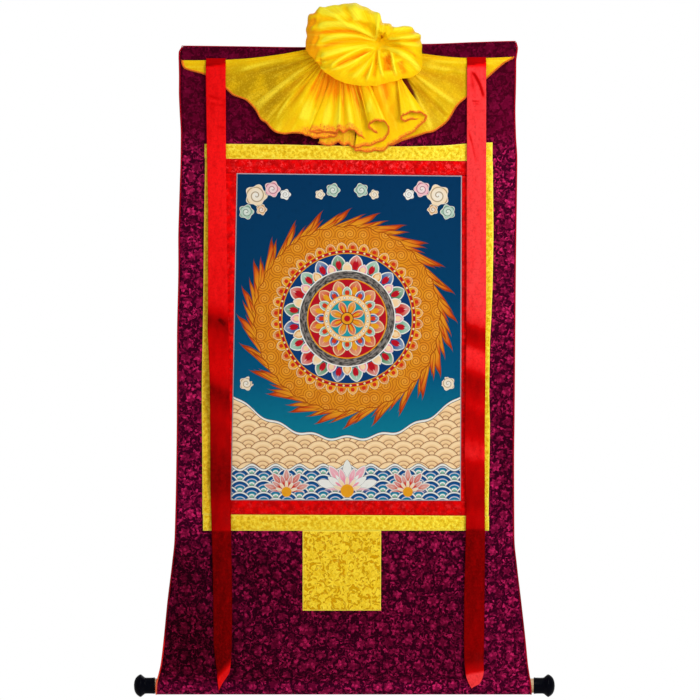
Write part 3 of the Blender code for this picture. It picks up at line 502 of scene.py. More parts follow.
def cloth_mesh(name, grids):
    """One mesh of one or more grids, each with its rows from the top and its columns left to right."""
    vertices, faces, values, places, start = [], [], {}, [], 0
    for grid in grids:
        rows_down, columns = grid.points.shape[:2]
        faces += grid_faces(rows_down, columns, grid.around, start)
        vertices.append(grid.points.reshape(-1, 3))
        places.append(flat_places(grid.points).reshape(-1, 2))
        for key, value in grid.values.items():
            values.setdefault(key, []).append(np.broadcast_to(value, (rows_down, columns)).reshape(-1))
        top, start = start, start + rows_down * columns
        if grid.capped:
            faces += [(start, top + c, top + (c + 1) % columns) for c in range(columns)]
            vertices.append(grid.points[:1].mean(axis=1))
            for parts in (places, *(values[key] for key in grid.values)):
                parts.append(parts[-1][:1])
            start += 1
    mesh = new_mesh(name, np.concatenate(vertices), faces)
    layer = mesh.uv_layers.new(name="cloth")
    corner = np.zeros(len(mesh.loops), np.int32)
    mesh.loops.foreach_get("vertex_index", corner)
    layer.data.foreach_set("uv", np.concatenate(places)[corner].astype(np.float32).ravel())
    for key, parts in values.items():
        column = mesh.attributes.new(key, "FLOAT", "POINT")
        column.data.foreach_set("value", np.concatenate(parts).astype(np.float32))
    return mesh


def even_back(mesh, **values):
    """Give a thickened mesh's far side the same value all over."""
    for name, value in values.items():
        data = mesh.attributes[name].data
        column = np.empty(len(data), np.float32)
        data.foreach_get("value", column)
        column[len(data) // 2:] = value
        data.foreach_set("value", column)


def linked(name, data):
    """A new object of a mesh, curve, light or camera, in the scene."""
    thing = bpy.data.objects.new(name, data)
    bpy.context.scene.collection.objects.link(thing)
    return thing


def add_piece(name, mesh, material, slot=None, stands_for=()):
    """Link a mesh as a piece that rides on the body, with its material; the slot is not used."""
    piece = linked(name, mesh)
    if material is not None:
        mesh.materials.clear()
        mesh.materials.append(material)
    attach(piece, BODY)
    if stands_for:
        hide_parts(*stands_for)
    return piece


def thicken(name, mesh, thickness, offset=-1):
    """The mesh with its thickness added, as a plain mesh. Offset -1 puts it behind the points."""
    helper = linked(name + "_open", mesh)
    solidify = helper.modifiers.new("Thickness", "SOLIDIFY")
    solidify.thickness = thickness
    solidify.offset = offset
    return settled(helper, name)


def settled(helper, name):
    """The helper's finished form as a plain mesh. The helper is removed."""
    view = bpy.context.evaluated_depsgraph_get()
    view.update()
    shown = helper.evaluated_get(view)
    mesh = bpy.data.meshes.new_from_object(shown, preserve_all_data_layers=True, depsgraph=view)
    mesh.name = name
    helper.modifiers.clear()
    bpy.data.objects.remove(helper)
    return mesh


def tube_mesh(name, points, radius, sides=10):
    """A round closed cord along a path that stays upright or level."""
    ahead = np.gradient(points, axis=0)
    ahead /= np.linalg.norm(ahead, axis=1, keepdims=True)
    aside = np.cross(ahead, np.array([0.0, 1.0, 0.0]))
    aside /= np.maximum(np.linalg.norm(aside, axis=1, keepdims=True), 1e-9)
    up = np.cross(aside, ahead)
    angles = np.arange(sides) * TURN / sides
    circle = np.cos(angles)[None, :, None] * aside[:, None] + np.sin(angles)[None, :, None] * up[:, None]
    faces = round_faces(len(points), sides)
    last = (len(points) - 1) * sides
    faces += [tuple(range(sides))[::-1], tuple(last + c for c in range(sides))]
    return new_mesh(name, points[:, None] + radius * circle, faces)


def turned_mesh(name, lengths, radii, segments, start, along):
    """A turned piece from its profile's lengths and radii, its axis along X from start."""
    angles = np.arange(segments) * TURN / segments
    lengths, radii = np.asarray(lengths)[:, None], np.asarray(radii)[:, None]
    x = start[0] + along * lengths + 0 * angles
    points = np.stack([x, start[1] + radii * np.cos(angles), start[2] + radii * np.sin(angles)], axis=-1)
    cells = round_faces(len(lengths), segments) + [list(range(segments))[::-1]]
    faces = cells if along > 0 else [cell[::-1] for cell in cells]
    return new_mesh(name, points, faces)


# ---- shader maths

class Number:
    """A number that varies over a surface. Arithmetic on it adds Math nodes."""

    def __init__(self, paint, socket):
        self.paint, self.socket = paint, socket

    def math(self, operation, *others):
        return self.paint.math(operation, self, *others)

    def __add__(self, other):
        return self.math("ADD", other)

    def __sub__(self, other):
        return self.math("SUBTRACT", other)

    def __rsub__(self, other):
        return self.paint.math("SUBTRACT", other, self)

    def __mul__(self, other):
        return self.math("MULTIPLY", other)

    def __truediv__(self, other):
        return self.math("DIVIDE", other)

    def __rtruediv__(self, other):
        return self.paint.math("DIVIDE", other, self)

    def __pow__(self, other):
        return self.math("POWER", other)

    def __neg__(self):
        return self.math("MULTIPLY", -1.0)

    def __abs__(self):
        return self.math("ABSOLUTE")

    def step(self, low, high):
        """0 where the number is below low and 1 above high, with a soft step between."""
        sockets = {"Value": self, "From Min": low, "From Max": high}
        node = self.paint.node("ShaderNodeMapRange", {"interpolation_type": "SMOOTHSTEP"}, sockets)
        return Number(self.paint, node.outputs["Result"])

    __radd__ = __add__
    __rmul__ = __mul__


class Paint:
    """One material and the nodes that give its surface."""

    def __init__(self, name, **constants):
        self.material = bpy.data.materials.get(name) or bpy.data.materials.new(name)
        self.material.use_nodes = True
        self.tree = self.material.node_tree
        self.shader = self.tree.nodes["Principled BSDF"]
        for socket, value in constants.items():
            self.shader.inputs[socket.replace("_", " ").title().replace("Ior", "IOR")].default_value = value

    def node(self, kind, settings=None, sockets=None):
        """A node of a kind, with its settings made first and then its sockets' values or links."""
        node = self.tree.nodes.new(kind)
        for key, value in (settings or {}).items():
            if key == "stops":
                self.set_stops(node.color_ramp, value)
            else:
                setattr(node, key, value)
        for key, value in (sockets or {}).items():
            if isinstance(value, Number):
                value = value.socket
            if isinstance(value, bpy.types.NodeSocket):
                self.tree.links.new(value, node.inputs[key])
            elif value is not None:
                node.inputs[key].default_value = value
        return node

    @staticmethod
    def set_stops(ramp, stops):
        while len(ramp.elements) < len(stops):
            ramp.elements.new(1.0)
        for element, (place, colour) in zip(ramp.elements, stops):
            element.position, element.color = place, (*colour, 1)

    def math(self, operation, *values):
        node = self.node("ShaderNodeMath", {"operation": operation}, dict(enumerate(values)))
        return Number(self, node.outputs[0])

    def smaller(self, a, b):
        return self.math("MINIMUM", a, b)

    def larger(self, a, b):
        return self.math("MAXIMUM", a, b)

    def mix(self, share, a, b, blend="MIX"):
        """Colour a, turned into colour b by a share from 0 to 1."""
        a, b = (c if isinstance(c, bpy.types.NodeSocket) else (*tuple(c)[:3], 1) for c in (a, b))
        node = self.node("ShaderNodeMix", {"data_type": "RGBA", "blend_type": blend}, {0: share, 6: a, 7: b})
        return node.outputs[2]

    def layers(self, colour, *coats):
        """The colour with coats laid over it in turn, each a share and a colour."""
        for share, coat in coats:
            colour = self.mix(share, colour, coat)
        return colour

    def attribute(self, name):
        return Number(self, self.node("ShaderNodeAttribute", {"attribute_name": name}).outputs["Fac"])

    def split(self, vector):
        node = self.node("ShaderNodeSeparateXYZ", None, {0: vector})
        return [Number(self, node.outputs[i]) for i in range(3)]

    def joined(self, x, y, z=0.0):
        return self.node("ShaderNodeCombineXYZ", None, {0: x, 1: y, 2: z}).outputs[0]

    def vector(self, operation, a, b):
        return self.node("ShaderNodeVectorMath", {"operation": operation}, {0: a, 1: b}).outputs[0]

    def cloth_place(self):
        """The place on the flat cloth, in metres."""
        return self.node("ShaderNodeUVMap", {"uv_map": "cloth"}).outputs[0]

    def object_place(self):
        return self.node("ShaderNodeTexCoord").outputs["Object"]

    def noise(self, place, size, detail=2.0, roughness=0.5):
        """Uneven values round 0.5, with patches of about the given size."""
        node = self.node("ShaderNodeTexNoise", None,
                         {"Vector": place, "Scale": 1 / size, "Detail": detail, "Roughness": roughness})
        return Number(self, node.outputs["Fac"])

    def patches(self, low, high, place, size, detail=2.0):
        """Noise made harder: 0 where it is below low and 1 above high."""
        return self.noise(place, size, detail).step(low, high)

    def polar(self, x, y):
        """The distance from the middle, and the turn round it from 0 to 1."""
        radius = (x * x + y * y).math("SQRT")
        return radius, y.math("ARCTAN2", x) / TURN + 0.5

    def finish(self, colour, roughness, height=None, depth=0.001, strength=1.0):
        """Link what varies over the surface to the shader."""
        self.tree.links.new(colour, self.shader.inputs["Base Color"])
        self.tree.links.new(roughness.socket, self.shader.inputs["Roughness"])
        if height is not None:
            sockets = {"Height": height, "Distance": depth, "Strength": strength}
            bump = self.node("ShaderNodeBump", None, sockets)
            self.tree.links.new(bump.outputs[0], self.shader.inputs["Normal"])
        return self.material


def scattered(paint, place, pitch, shift, randomness=0.8):
    """Round motifs strewn over a cloth: the distance from the nearest one's middle, the turn round it
    and two random numbers for that motif."""
    moved = paint.vector("ADD", place, (shift, shift * 1.7, 0))
    cells = paint.node("ShaderNodeTexVoronoi", {"voronoi_dimensions": "2D", "feature": "F1"},
                       {"Vector": moved, "Scale": 1 / pitch, "Randomness": randomness})
    x, y, _ = paint.split(paint.vector("SUBTRACT", moved, cells.outputs["Position"]))
    first, second, _ = paint.split(cells.outputs["Color"])
    radius, turn = paint.polar(x, y)
    return radius, turn + first, first, second


def flower(radius, turn, size, petals):
    """How far a place lies outside a flower of petals; less than 0 inside."""
    return radius - size * ((turn * (TURN * petals)).math("COSINE") * 0.18 + 0.82)


def curl(radius, turn, size, thick):
    """How far a place lies outside a comma-shaped curl, whose tail thins as it goes round."""
    part = turn.math("FRACT")
    return abs(radius - size * (part * 0.75 + 0.25)) - thick * (1.2 - part * 0.9)


def brocade(paint, place, scale):
    """The woven figure of flowers, buds, leaves and curls: how far a place lies outside it, the lines
    in its flowers, and a random tone for each motif."""
    wobble = paint.node("ShaderNodeTexNoise", {"noise_dimensions": "2D"},
                        {"Vector": place, "Scale": 70 / scale, "Detail": 1.5}).outputs["Color"]
    place = paint.vector("ADD", place, paint.vector(
        "MULTIPLY", paint.vector("SUBTRACT", wobble, (0.5, 0.5, 0.5)), (0.009 * scale,) * 3))
    radius, turn, flower_tone, second = scattered(paint, place, 0.0350 * scale, 0.0, 0.85)
    size = (second * 0.0030 + 0.0095) * scale
    figure = flower(radius, turn, size, 6)
    petals = abs((turn * (math.pi * 6) + math.pi / 2).math("COSINE"))
    lines = petals.step(0.30, 0.10) * (radius / size).step(0.25, 0.40)
    lines = paint.larger(lines, abs(radius / size - 0.32).step(0.07, 0.02))
    margin = radius * -1.0 + 0.0132 * scale
    radius, turn, first, second = scattered(paint, place, 0.0150 * scale, 0.31)
    small = flower(radius, turn, (second * 0.0026 + 0.0034) * scale, 5)
    small = small + first.step(0.35, 0.30) * 0.01
    radius, turn, _, _ = scattered(paint, place, 0.0118 * scale, 0.77)
    small = paint.smaller(small, curl(radius, turn, 0.0060 * scale, 0.00135 * scale))
    radius, turn, leaf_tone, _ = scattered(paint, place, 0.0088 * scale, 1.93)
    leaf = (abs((turn * TURN).math("COSINE")) ** 2.0) * (0.0052 * scale) + 0.0007 * scale
    small = paint.smaller(small, radius - leaf + leaf_tone.step(0.62, 0.68) * 0.01)
    small = paint.larger(small, margin)
    inside = figure.step(0.0, -0.0003)
    tone = flower_tone * inside + leaf_tone * (1 - inside)
    return paint.smaller(figure, small), lines * inside, tone


def woven(paint, place, colour, dark, light, roughness, relief, sizes):
    """Finish a brocade: painted light from dark to light over the colour, and its weave in the relief."""
    colour = paint.mix(1.0, colour, paint.mix(paint.attribute("lit"), dark, light), "MULTIPLY")
    relief = relief + weave(paint, place, sizes.weave_pitch) * 0.35
    return paint.finish(colour, roughness, relief, 0.0003, 0.8)


def weave(paint, place, pitch):
    """The over and under of the threads, from 0 to 1."""
    x, y, _ = paint.split(place)
    over = (x * (TURN / pitch)).math("SINE") * (y * (TURN / pitch)).math("SINE")
    return over * 0.5 + 0.5


# ---- materials

def maroon_brocade(colours, sizes):
    paint = Paint("brocade_maroon", specular_ior_level=0.01)
    place = paint.cloth_place()
    outside, lines, tone = brocade(paint, place, 1.0)
    shape = outside.step(0.0002, -0.0008)
    shown = paint.attribute("pattern")
    near, _, _, _ = scattered(paint, place, 0.0076, 0.53, 0.9)
    floret = near.step(0.0038, 0.0016)
    tone = tone * 0.35 + paint.patches(0.38, 0.60, place, 0.018) * 0.65
    figure = paint.mix(tone * (floret * 0.75 + 0.25), colours.brocade_dim, colours.brocade_figure)
    figure = paint.mix(lines * 0.55, figure, colours.brocade_dim)
    cloudy = paint.patches(0.35, 0.75, place, 0.010, 3.0)
    plain = paint.mix(cloudy, (0.046, 0.0003, 0.0075), (0.086, 0.0005, 0.0135))
    ground = paint.mix(shown, plain, colours.brocade_ground)
    figure = paint.mix(shown, (0.100, 0.0005, 0.0165), figure)
    colour = paint.layers(
        ground, (shape, figure),
        (paint.patches(0.55, 0.75, place, 0.0036) * (shown * 0.25 + 0.10), (0.52, 0.020, 0.115)))
    return woven(paint, place, colour, (0.42, 0.35, 0.30), (1.25, 1.25, 1.22),
                 0.66 - shape * 0.16, shape * 0.6 - lines * 0.3, sizes)


def yellow_brocade(colours, sizes):
    paint = Paint("brocade_yellow", specular_ior_level=0.02)
    place = paint.cloth_place()
    outside, lines, _ = brocade(paint, place, 1.0)
    shown = paint.attribute("pattern")
    uneven = 1 - shown * 0.60
    whole = outside.step(0.0014, 0.0009)
    outline = abs(outside - 0.0012).step(0.0007, 0.0003)
    ground = paint.mix(paint.patches(0.35, 0.65, place, 0.03), (0.70, 0.330, 0.0012), (0.66, 0.380, 0.0020))
    figure = paint.mix(paint.patches(0.30, 0.70, place, 0.012), (1.0, 0.76, 0.040), (0.90, 0.62, 0.018))
    figure = paint.mix(shown, colours.gold_figure, figure)
    ground = paint.mix(shown, colours.gold_figure, ground)
    mottle = paint.noise(place, 0.0066, 3.0, 0.62)
    colour = paint.layers(
        ground, (whole, figure),
        (paint.larger(outline, lines * 0.45) * (shown * 0.70 + 0.12), (0.50, 0.25, 0.0010)),
        (mottle.step(0.50, 0.60) * (uneven * 0.72), (0.68, 0.380, 0.0010)),
        (mottle.step(0.48, 0.38) * (uneven * 0.75), (1.0, 0.88, 0.090)),
        (paint.patches(0.58, 0.68, place, 0.0036) * (uneven * 0.60), (0.56, 0.30, 0.001)),
        # Painted highlight along each panel's folded edge.
        (paint.attribute("rim") * 0.75, (1.0, 0.86, 0.090)))
    return woven(paint, place, colour, (0.72, 0.33, 0.20), (1.05, 1.08, 1.10),
                 0.50 - whole * 0.12, whole * 0.6 - outline * 0.4 - lines * 0.3, sizes)


def red_brocade(colours, sizes):
    paint = Paint("brocade_red", specular_ior_level=0.01)
    place = paint.cloth_place()
    outside, lines, tone = brocade(paint, place, 0.62)
    shape = outside.step(0.0005, -0.0003)
    shown = paint.attribute("pattern")
    ground = paint.mix(paint.patches(0.35, 0.65, place, 0.012), colours.red_ground, (0.48, 0.0012, 0.0016))
    strength = shape * (tone.step(0.15, 0.95) * 0.85 + 0.08) * shown
    colour = paint.layers(
        ground, (strength * paint.patches(0.34, 0.60, place, 0.007), (0.99, 0.046, 0.050)),
        (paint.patches(0.52, 0.70, place, 0.0045) * (shown * 0.35), (0.52, 0.0006, 0.0010)),
        (lines * shown * 0.35, (0.42, 0.001, 0.002)),
        (paint.attribute("rim") * 0.35, (0.42, 0.001, 0.002)))
    return woven(paint, place, colour, (0.0, 0.0, 0.0), (1.25, 1.25, 1.25),
                 0.50 - shape * 0.12, shape * 0.6 - lines * 0.3, sizes)


def ribbon_satin(colours, sizes):
    paint = Paint("ribbon_satin", specular_ior_level=0.01, anisotropic=0.4)
    place = paint.cloth_place()
    x, y, _ = paint.split(place)
    streak = paint.noise(paint.joined(x * 40.0, y * 2.0), 0.02, 2.0)
    # Painted light and shade from the satin's tone, with painted highlights laid over them.
    shade = (paint.attribute("tone") + (streak - 0.5) * 0.16).math("POWER", 1.25)
    colour = paint.layers(
        paint.mix(shade, colours.ribbon_shade, colours.ribbon),
        (paint.attribute("blush"), (0.95, 0.046, 0.050)),
        (paint.patches(0.48, 0.72, paint.joined(x * 2.0, y), 0.012, 3.0) * 0.26, (0.42, 0.001, 0.002)),
        (paint.patches(0.46, 0.66, place, 0.0042) * 0.20, (0.40, 0.001, 0.002)))
    threads = weave(paint, place, sizes.weave_pitch * 0.8)
    fine = paint.noise(paint.joined(x * 3.0, y), 0.03, 3.0)
    return paint.finish(colour, 0.30 + streak * 0.15, threads * 0.2 + fine * 1.5, 0.0006, 0.6)


def veil_silk(colours):
    """Silk, sheer and olive over the dark cloth in its wings, with painted shade in its folds, painted
    highlights on its ridges, painted streaks of light and shade down its pleats and a painted glow.
    """
    paint = Paint("veil_silk", specular_ior_level=0.05, emission_strength=1.0)
    place = paint.object_place()
    sheer, hollow, hem, down = (paint.attribute(name) for name in ("sheer", "hollow", "hem", "down"))
    streak = paint.noise(paint.joined(paint.attribute("pleat"), down * 0.16), 0.10, 3.0, 0.55)
    cloud = paint.noise(place, 0.03, 3.0)
    grain = paint.noise(place, 0.0027, 2.0)
    full = paint.mix(cloud, colours.silk, (0.96, 0.60, 0.0010))
    thin = paint.mix(cloud.step(0.34, 0.66), (0.46, 0.258, 0.0004), (0.70, 0.415, 0.0009))
    dark = paint.mix(sheer, colours.silk_shade, (0.40, 0.215, 0.0006))
    pale = paint.mix(sheer, (1.0, 0.90, 0.040), (0.92, 0.68, 0.030))
    # Painted shade, orange, deepest in the folds where the silk is not sheer.
    deepest_shade = hollow.step(0.72, 1.0) * paint.larger(0.62 - sheer * 1.6, 0.0)
    streaky = (1 - sheer * 0.08) * (down.step(0.05, 0.45) * 0.6 + 0.4)
    lacy = paint.patches(0.40, 0.56, place, 0.0038) * 0.65 + 0.35
    # Over the silk: painted shade in the folds, painted highlights on ridges, painted streaks of light and
    # shade down the pleats, fine grain, the hem's thread and the painted dark slit.
    colour = paint.layers(
        paint.mix(sheer, full, thin),
        (paint.larger(hollow, 0.0) * (1 - sheer * 0.25), dark),
        (deepest_shade, (0.93, 0.25, 0.0008)),
        ((-hollow).step(0.05, 0.8) * 0.75, pale),
        (streak.step(0.54, 0.70) * (streaky * 0.40), pale),
        (streak.step(0.46, 0.30) * (streaky * 0.35), dark),
        (grain.step(0.48, 0.70) * (sheer * 0.36 + 0.12), dark),
        (grain.step(0.52, 0.30) * (sheer * 0.22 + 0.09), pale),
        (hem * lacy, colours.hem_thread),
        (hem * grain.step(0.54, 0.66) * 0.65, (0.50, 0.075, 0.008)),
        (paint.attribute("deep"), (0.120, 0.010, 0.003)))
    # Painted glow: light given off where the puff's underside and left flank are painted lighter.
    light = paint.mix(paint.attribute("glow"), (0.0, 0.0, 0.0), (0.30, 0.17, 0.002))
    paint.tree.links.new(light, paint.shader.inputs["Emission Color"])
    threads = weave(paint, place, 0.0011)
    return paint.finish(colour, 0.42 + cloud * 0.12, threads * 0.3 + grain * 0.6, 0.0003, 0.5)


def red_piping(colours):
    """Twisted cord, darker along its lower stretch and paler where its left foot turns to the light."""
    paint = Paint("piping_red", specular_ior_level=0.05)
    x, _, z = paint.split(paint.object_place())
    twist = ((z + x * 0.6) * (TURN / 0.0024)).math("SINE") * 0.5 + 0.5
    left = x.step(0.0, -0.1)
    colour = paint.layers(
        paint.mix(twist, (0.24, 0.0006, 0.006), colours.piping),
        (z.step(-0.86, -0.96) * z.step(-1.105, -1.080) * 0.60, (0.110, 0.0003, 0.0020)),
        (z.step(-1.085, -1.110) * left, (0.72, 0.012, 0.012)),
        (z.step(-1.155, -1.180) * left * 0.8, (0.95, 0.16, 0.06)))
    return paint.finish(colour, 0.55 - twist * 0.1, twist, 0.0003, 0.7)


def thread(name, colour, dark):
    paint = Paint(name, specular_ior_level=0.2)
    place = paint.object_place()
    shade, fuzz = paint.noise(place, 0.004, 2.0), paint.noise(place, 0.0008, 1.0)
    return paint.finish(paint.mix(shade, dark, colour), 0.45 + shade * 0.15, fuzz, 0.0002, 0.5)


def pale_wood(colours):
    paint = Paint("roller_wood", specular_ior_level=0.4)
    x, y, z = paint.split(paint.object_place())
    grain = paint.noise(paint.joined(x * 0.06, y, z), 0.0022, 4.0, 0.65)
    bands = paint.noise(paint.joined(x * 0.10, y, z), 0.008, 2.0)
    colour = paint.mix(grain.step(0.35, 0.7), (0.48, 0.29, 0.13), colours.wood)
    colour = paint.mix(bands * 0.35, colour, (0.80, 0.60, 0.38))
    return paint.finish(colour, 0.5 + grain * 0.2, grain, 0.0004, 0.5)


def black_lacquer(colours):
    paint = Paint("knob_black", specular_ior_level=0.03)
    place = paint.object_place()
    x, y, z = paint.split(place)
    rings = paint.noise(paint.joined(x, y * 0.05, z * 0.05), 0.0006, 3.0)
    wear = paint.noise(place, 0.006, 4.0, 0.6).step(0.58, 0.8)
    colour = paint.mix(wear * 0.6, colours.lacquer, (0.005, 0.006, 0.013))
    return paint.finish(colour, 0.26 + wear * 0.18 + rings * 0.06, rings * 0.5 + wear * 0.3, 0.0002, 0.5)


# ---- the painted picture

Petals = namedtuple("Petals", "count inner outer width turned fills rim core")
NAVY, BLUE, TEAL = (0.004, 0.040, 0.150), (0.006, 0.090, 0.300), (0.012, 0.280, 0.340)
GREEN, SAGE, CREAM = (0.060, 0.240, 0.110), (0.190, 0.430, 0.300), (0.830, 0.600, 0.330)
ORANGE, AMBER, VERMILION = (0.620, 0.170, 0.010), (0.740, 0.320, 0.014), (0.580, 0.034, 0.010)
CRIMSON, ROSE, SALMON = (0.440, 0.006, 0.016), (0.800, 0.260, 0.360), (0.610, 0.140, 0.090)
STEEL, WHITE, INK = (0.130, 0.110, 0.095), (0.760, 0.760, 0.720), (0.012, 0.010, 0.014)
OUTER_RINGS = (  # from the outside in; metres
    Petals(40, 0.1480, 0.1640, 0.98, 0.00, (AMBER, ORANGE) * 2, CREAM, VERMILION),
    Petals(20, 0.1060, 0.1380, 0.96, 0.00, (BLUE, SAGE, VERMILION, GREEN), WHITE, CRIMSON),
    Petals(20, 0.1030, 0.1220, 0.70, 0.50, (ROSE, AMBER, ROSE, CREAM), WHITE, CREAM),
)
INNER_RINGS = (
    Petals(12, 0.0520, 0.0830, 0.98, 0.00, (VERMILION, SALMON) * 2, CREAM, AMBER),
    Petals(12, 0.0490, 0.0690, 0.80, 0.50, (BLUE, SAGE) * 2, WHITE, VERMILION),
    Petals(8, 0.0130, 0.0390, 0.98, 0.00, (VERMILION, ORANGE) * 2, CREAM, AMBER),
)
# Plain discs and the lines over their edges, from the outside in; metres.
Disc = namedtuple("Disc", "radius colour")
OUTER_DISCS = rows(Disc, (0.1480, CRIMSON), (0.1400, NAVY), (0.1030, CRIMSON))
INNER_DISCS = rows(
    Disc, (0.0850, CRIMSON), (0.0500, CREAM), (0.0395, TEAL), (0.0130, AMBER), (0.0070, CRIMSON),
)
Line = namedtuple("Line", "radius half colour")
OUTER_LINES = rows(Line, (0.1480, 0.0010, AMBER), (0.1400, 0.0008, AMBER), (0.1030, 0.0010, WHITE))
INNER_LINES = rows(Line, (0.0850, 0.0010, AMBER), (0.0500, 0.0008, AMBER), (0.0395, 0.0007, AMBER),
                   (0.0130, 0.0006, INK))
MEDALLION_AT, MEDALLION_SIZE = (0.0, 0.035), 0.86  # from the picture's middle; rings are given at size 1
HEART_REACH, WREATH_REACH = 0.0821, 0.2080
FIELD_REACH = 0.2040
Cloud = namedtuple("Cloud", "x y size colour")
CLOUDS = rows(
    Cloud,
    (0.168, 0.262, 0.022, CREAM), (0.138, 0.274, 0.016, ROSE), (0.186, 0.232, 0.015, SAGE),
    (0.114, 0.264, 0.011, WHITE), (0.158, 0.236, 0.011, AMBER), (0.186, -0.085, 0.014, CREAM),
    (0.026, 0.272, 0.014, SAGE), (0.05, 0.264, 0.01, CREAM),
)
Scales = namedtuple("Scales", "level width stops")  # metres; stops are from a scale's middle to its edge
HILL = Scales(-0.125, 0.052, (
    (0.0, CREAM), (0.20, CREAM), (0.24, (0.36, 0.14, 0.05)), (0.30, (0.82, 0.55, 0.28)), (0.48, CREAM),
    (0.53, (0.36, 0.14, 0.05)), (0.58, (0.82, 0.55, 0.28)), (0.80, (0.90, 0.68, 0.40)), (0.93, CREAM),
    (0.96, (0.30, 0.10, 0.04)), (1.0, (0.30, 0.10, 0.04))))
SEA = Scales(-0.240, 0.044, (
    (0.0, SAGE), (0.16, SAGE), (0.20, WHITE), (0.27, WHITE), (0.31, TEAL), (0.48, BLUE), (0.54, WHITE),
    (0.60, BLUE), (0.82, NAVY), (0.86, WHITE), (0.95, WHITE), (0.98, INK), (1.0, INK)))
Blossom = namedtuple("Blossom", "x y size fills")
BLOSSOMS = rows(
    Blossom, (0.0, -0.283, 0.058, (ROSE, WHITE) * 2), (0.112, -0.285, 0.044, (VERMILION, SALMON) * 2),
)
Flame = namedtuple("Flame", "count foot reach lean shift tip")
FLAMES = (  # tongues of the wreath, from the back one forward
    Flame(24, 0.1920, 0.0480, 1.60, 0.10, VERMILION), Flame(28, 0.1900, 0.0400, 1.90, 0.45, ORANGE),
    Flame(34, 0.1900, 0.0300, 2.20, 0.80, VERMILION), Flame(42, 0.1880, 0.0220, 2.60, 0.30, AMBER),
)


def petal_ring(paint, canvas, radius, turn, ring):
    """Paint one ring of pointed petals over the canvas, each with a rim, a core and a fine outline."""
    around = turn * ring.count + ring.turned
    aside = abs(around.math("FRACT") - 0.5)
    number = around.math("FLOOR").math("FLOORED_MODULO", 4.0)
    along = (radius - ring.inner) / (ring.outer - ring.inner)
    kept = paint.larger(1 - paint.larger(along, 0.0) ** 2.6, 0.0) ** 0.75
    room = kept * (0.5 * ring.width) - aside
    fill = paint.layers(canvas, *(
        (abs(number - float(index)).step(0.6, 0.4), colour)
        for index, colour in enumerate(ring.fills)))
    core = ((paint.larger(0.62 - along, 0.0) * along * 4.0).math("SQRT") * 0.30 - aside).step(0, 0.03)
    vein = aside.step(0.03, 0.0) * along.step(0.80, 0.70) * along.step(0.50, 0.60)
    fill = paint.layers(
        fill, (along.step(0.2, 1.0) * 0.35, ring.rim), (core, ring.core), (vein * 0.8, ring.rim),
        (room.step(0.12, 0.07), ring.rim), (room.step(0.035, 0.015), INK))
    return paint.mix(room.step(0, 0.02) * along.step(-0.02, 0.02), canvas, fill)


def beads(paint, canvas, radius, turn, at, count, size, colour):
    """A ring of round beads."""
    aside = ((turn * count).math("FRACT") - 0.5) * (TURN * at / count)
    near = (aside * aside + (radius - at) * (radius - at)).math("SQRT")
    return paint.layers(
        canvas, (near.step(size + 0.0006, size), INK), (near.step(size, size - 0.0005), colour))


def discs(paint, canvas, radius, table):
    """Plain discs, each over the one before it."""
    return paint.layers(canvas, *(
        (radius.step(disc.radius, disc.radius - 0.0006), disc.colour) for disc in table))


def ring_lines(paint, canvas, radius, table):
    return paint.layers(canvas, *(
        (abs(radius - line.radius).step(line.half + 0.0004, line.half), line.colour)
        for line in table))


def sky(paint, y):
    """Navy above, turning to teal below."""
    ramp = paint.node("ShaderNodeValToRGB", {"stops": (
        (0.0, (0.0008, 0.031, 0.100)), (0.35, (0.0006, 0.042, 0.122)), (0.62, (0.0010, 0.085, 0.190)),
        (0.86, (0.004, 0.200, 0.280)), (1.0, (0.008, 0.280, 0.330)))}, {0: (0.300 - y) / 0.600})
    return ramp.outputs[0]


def flame_ring(paint, canvas, radius, turn, flame):
    """Tongues that all lean one way and thin out to a curled tip."""
    along = paint.larger((radius - flame.foot) / flame.reach, 0.0)
    sway = (along * 4.4).math("SINE") * 0.22
    around = (turn + (radius - flame.foot) * flame.lean) * flame.count + sway + flame.shift
    aside = abs(around.math("FRACT") - 0.5)
    room = paint.larger(1 - along, 0.0) ** 1.15 * 0.50 - aside
    fill = paint.layers(
        AMBER, (along.step(0.10, 0.85), flame.tip), (room.step(0.13, 0.03), (0.30, 0.035, 0.004)))
    return paint.mix(room.step(0.0, 0.03), canvas, fill)


def curled_field(paint, canvas, radius, turn, x, y):
    """An orange field full of curls, with a wreath of tongues round it."""
    for flame in FLAMES:
        canvas = flame_ring(paint, canvas, radius, turn, flame)
    place = paint.joined(x, y)
    near, turned, _, _ = scattered(paint, place, 0.0235, 0.0, 0.55)
    spiral = abs((near / 0.0046 - turned).math("FRACT") - 0.5)
    edge = radius - (FIELD_REACH - 0.004 + (turn * (TURN * 34)).math("SINE") * 0.0022)
    tint = paint.layers(
        ORANGE, (paint.noise(place, 0.03, 2.0), AMBER),
        (near.step(0.0110, 0.0020) * 0.45, (0.84, 0.40, 0.05)),
        (spiral.step(0.20, 0.10) * 0.75, (0.33, 0.060, 0.004)),
        (edge.step(-0.0030, -0.0018), (0.33, 0.050, 0.004)))
    return paint.mix(edge.step(0.0, -0.0010), canvas, tint)


def scale_rows(paint, x, y, scales):
    """Rows of overlapping round scales below a level."""
    reach, rise = scales.width / 2, scales.width / 4
    down = (scales.level - y) / rise
    row = down.math("FLOOR")
    part, odd = down - row, row.math("FLOORED_MODULO", 2.0) * 0.5

    def distance(ahead):
        up = (ahead - part) * rise
        shift = odd if ahead % 2 == 0 else 0.5 - odd
        aside = ((x / scales.width + shift).math("FRACT") - 0.5) * scales.width
        return (aside * aside + up * up).math("SQRT") / reach

    shown = distance(0)
    for ahead in (1, 2):
        near = distance(ahead)
        inside = near.step(1.0, 0.999)
        shown = near * inside + shown * (1 - inside)
    return paint.node("ShaderNodeValToRGB", {"stops": scales.stops}, {0: shown}).outputs[0]


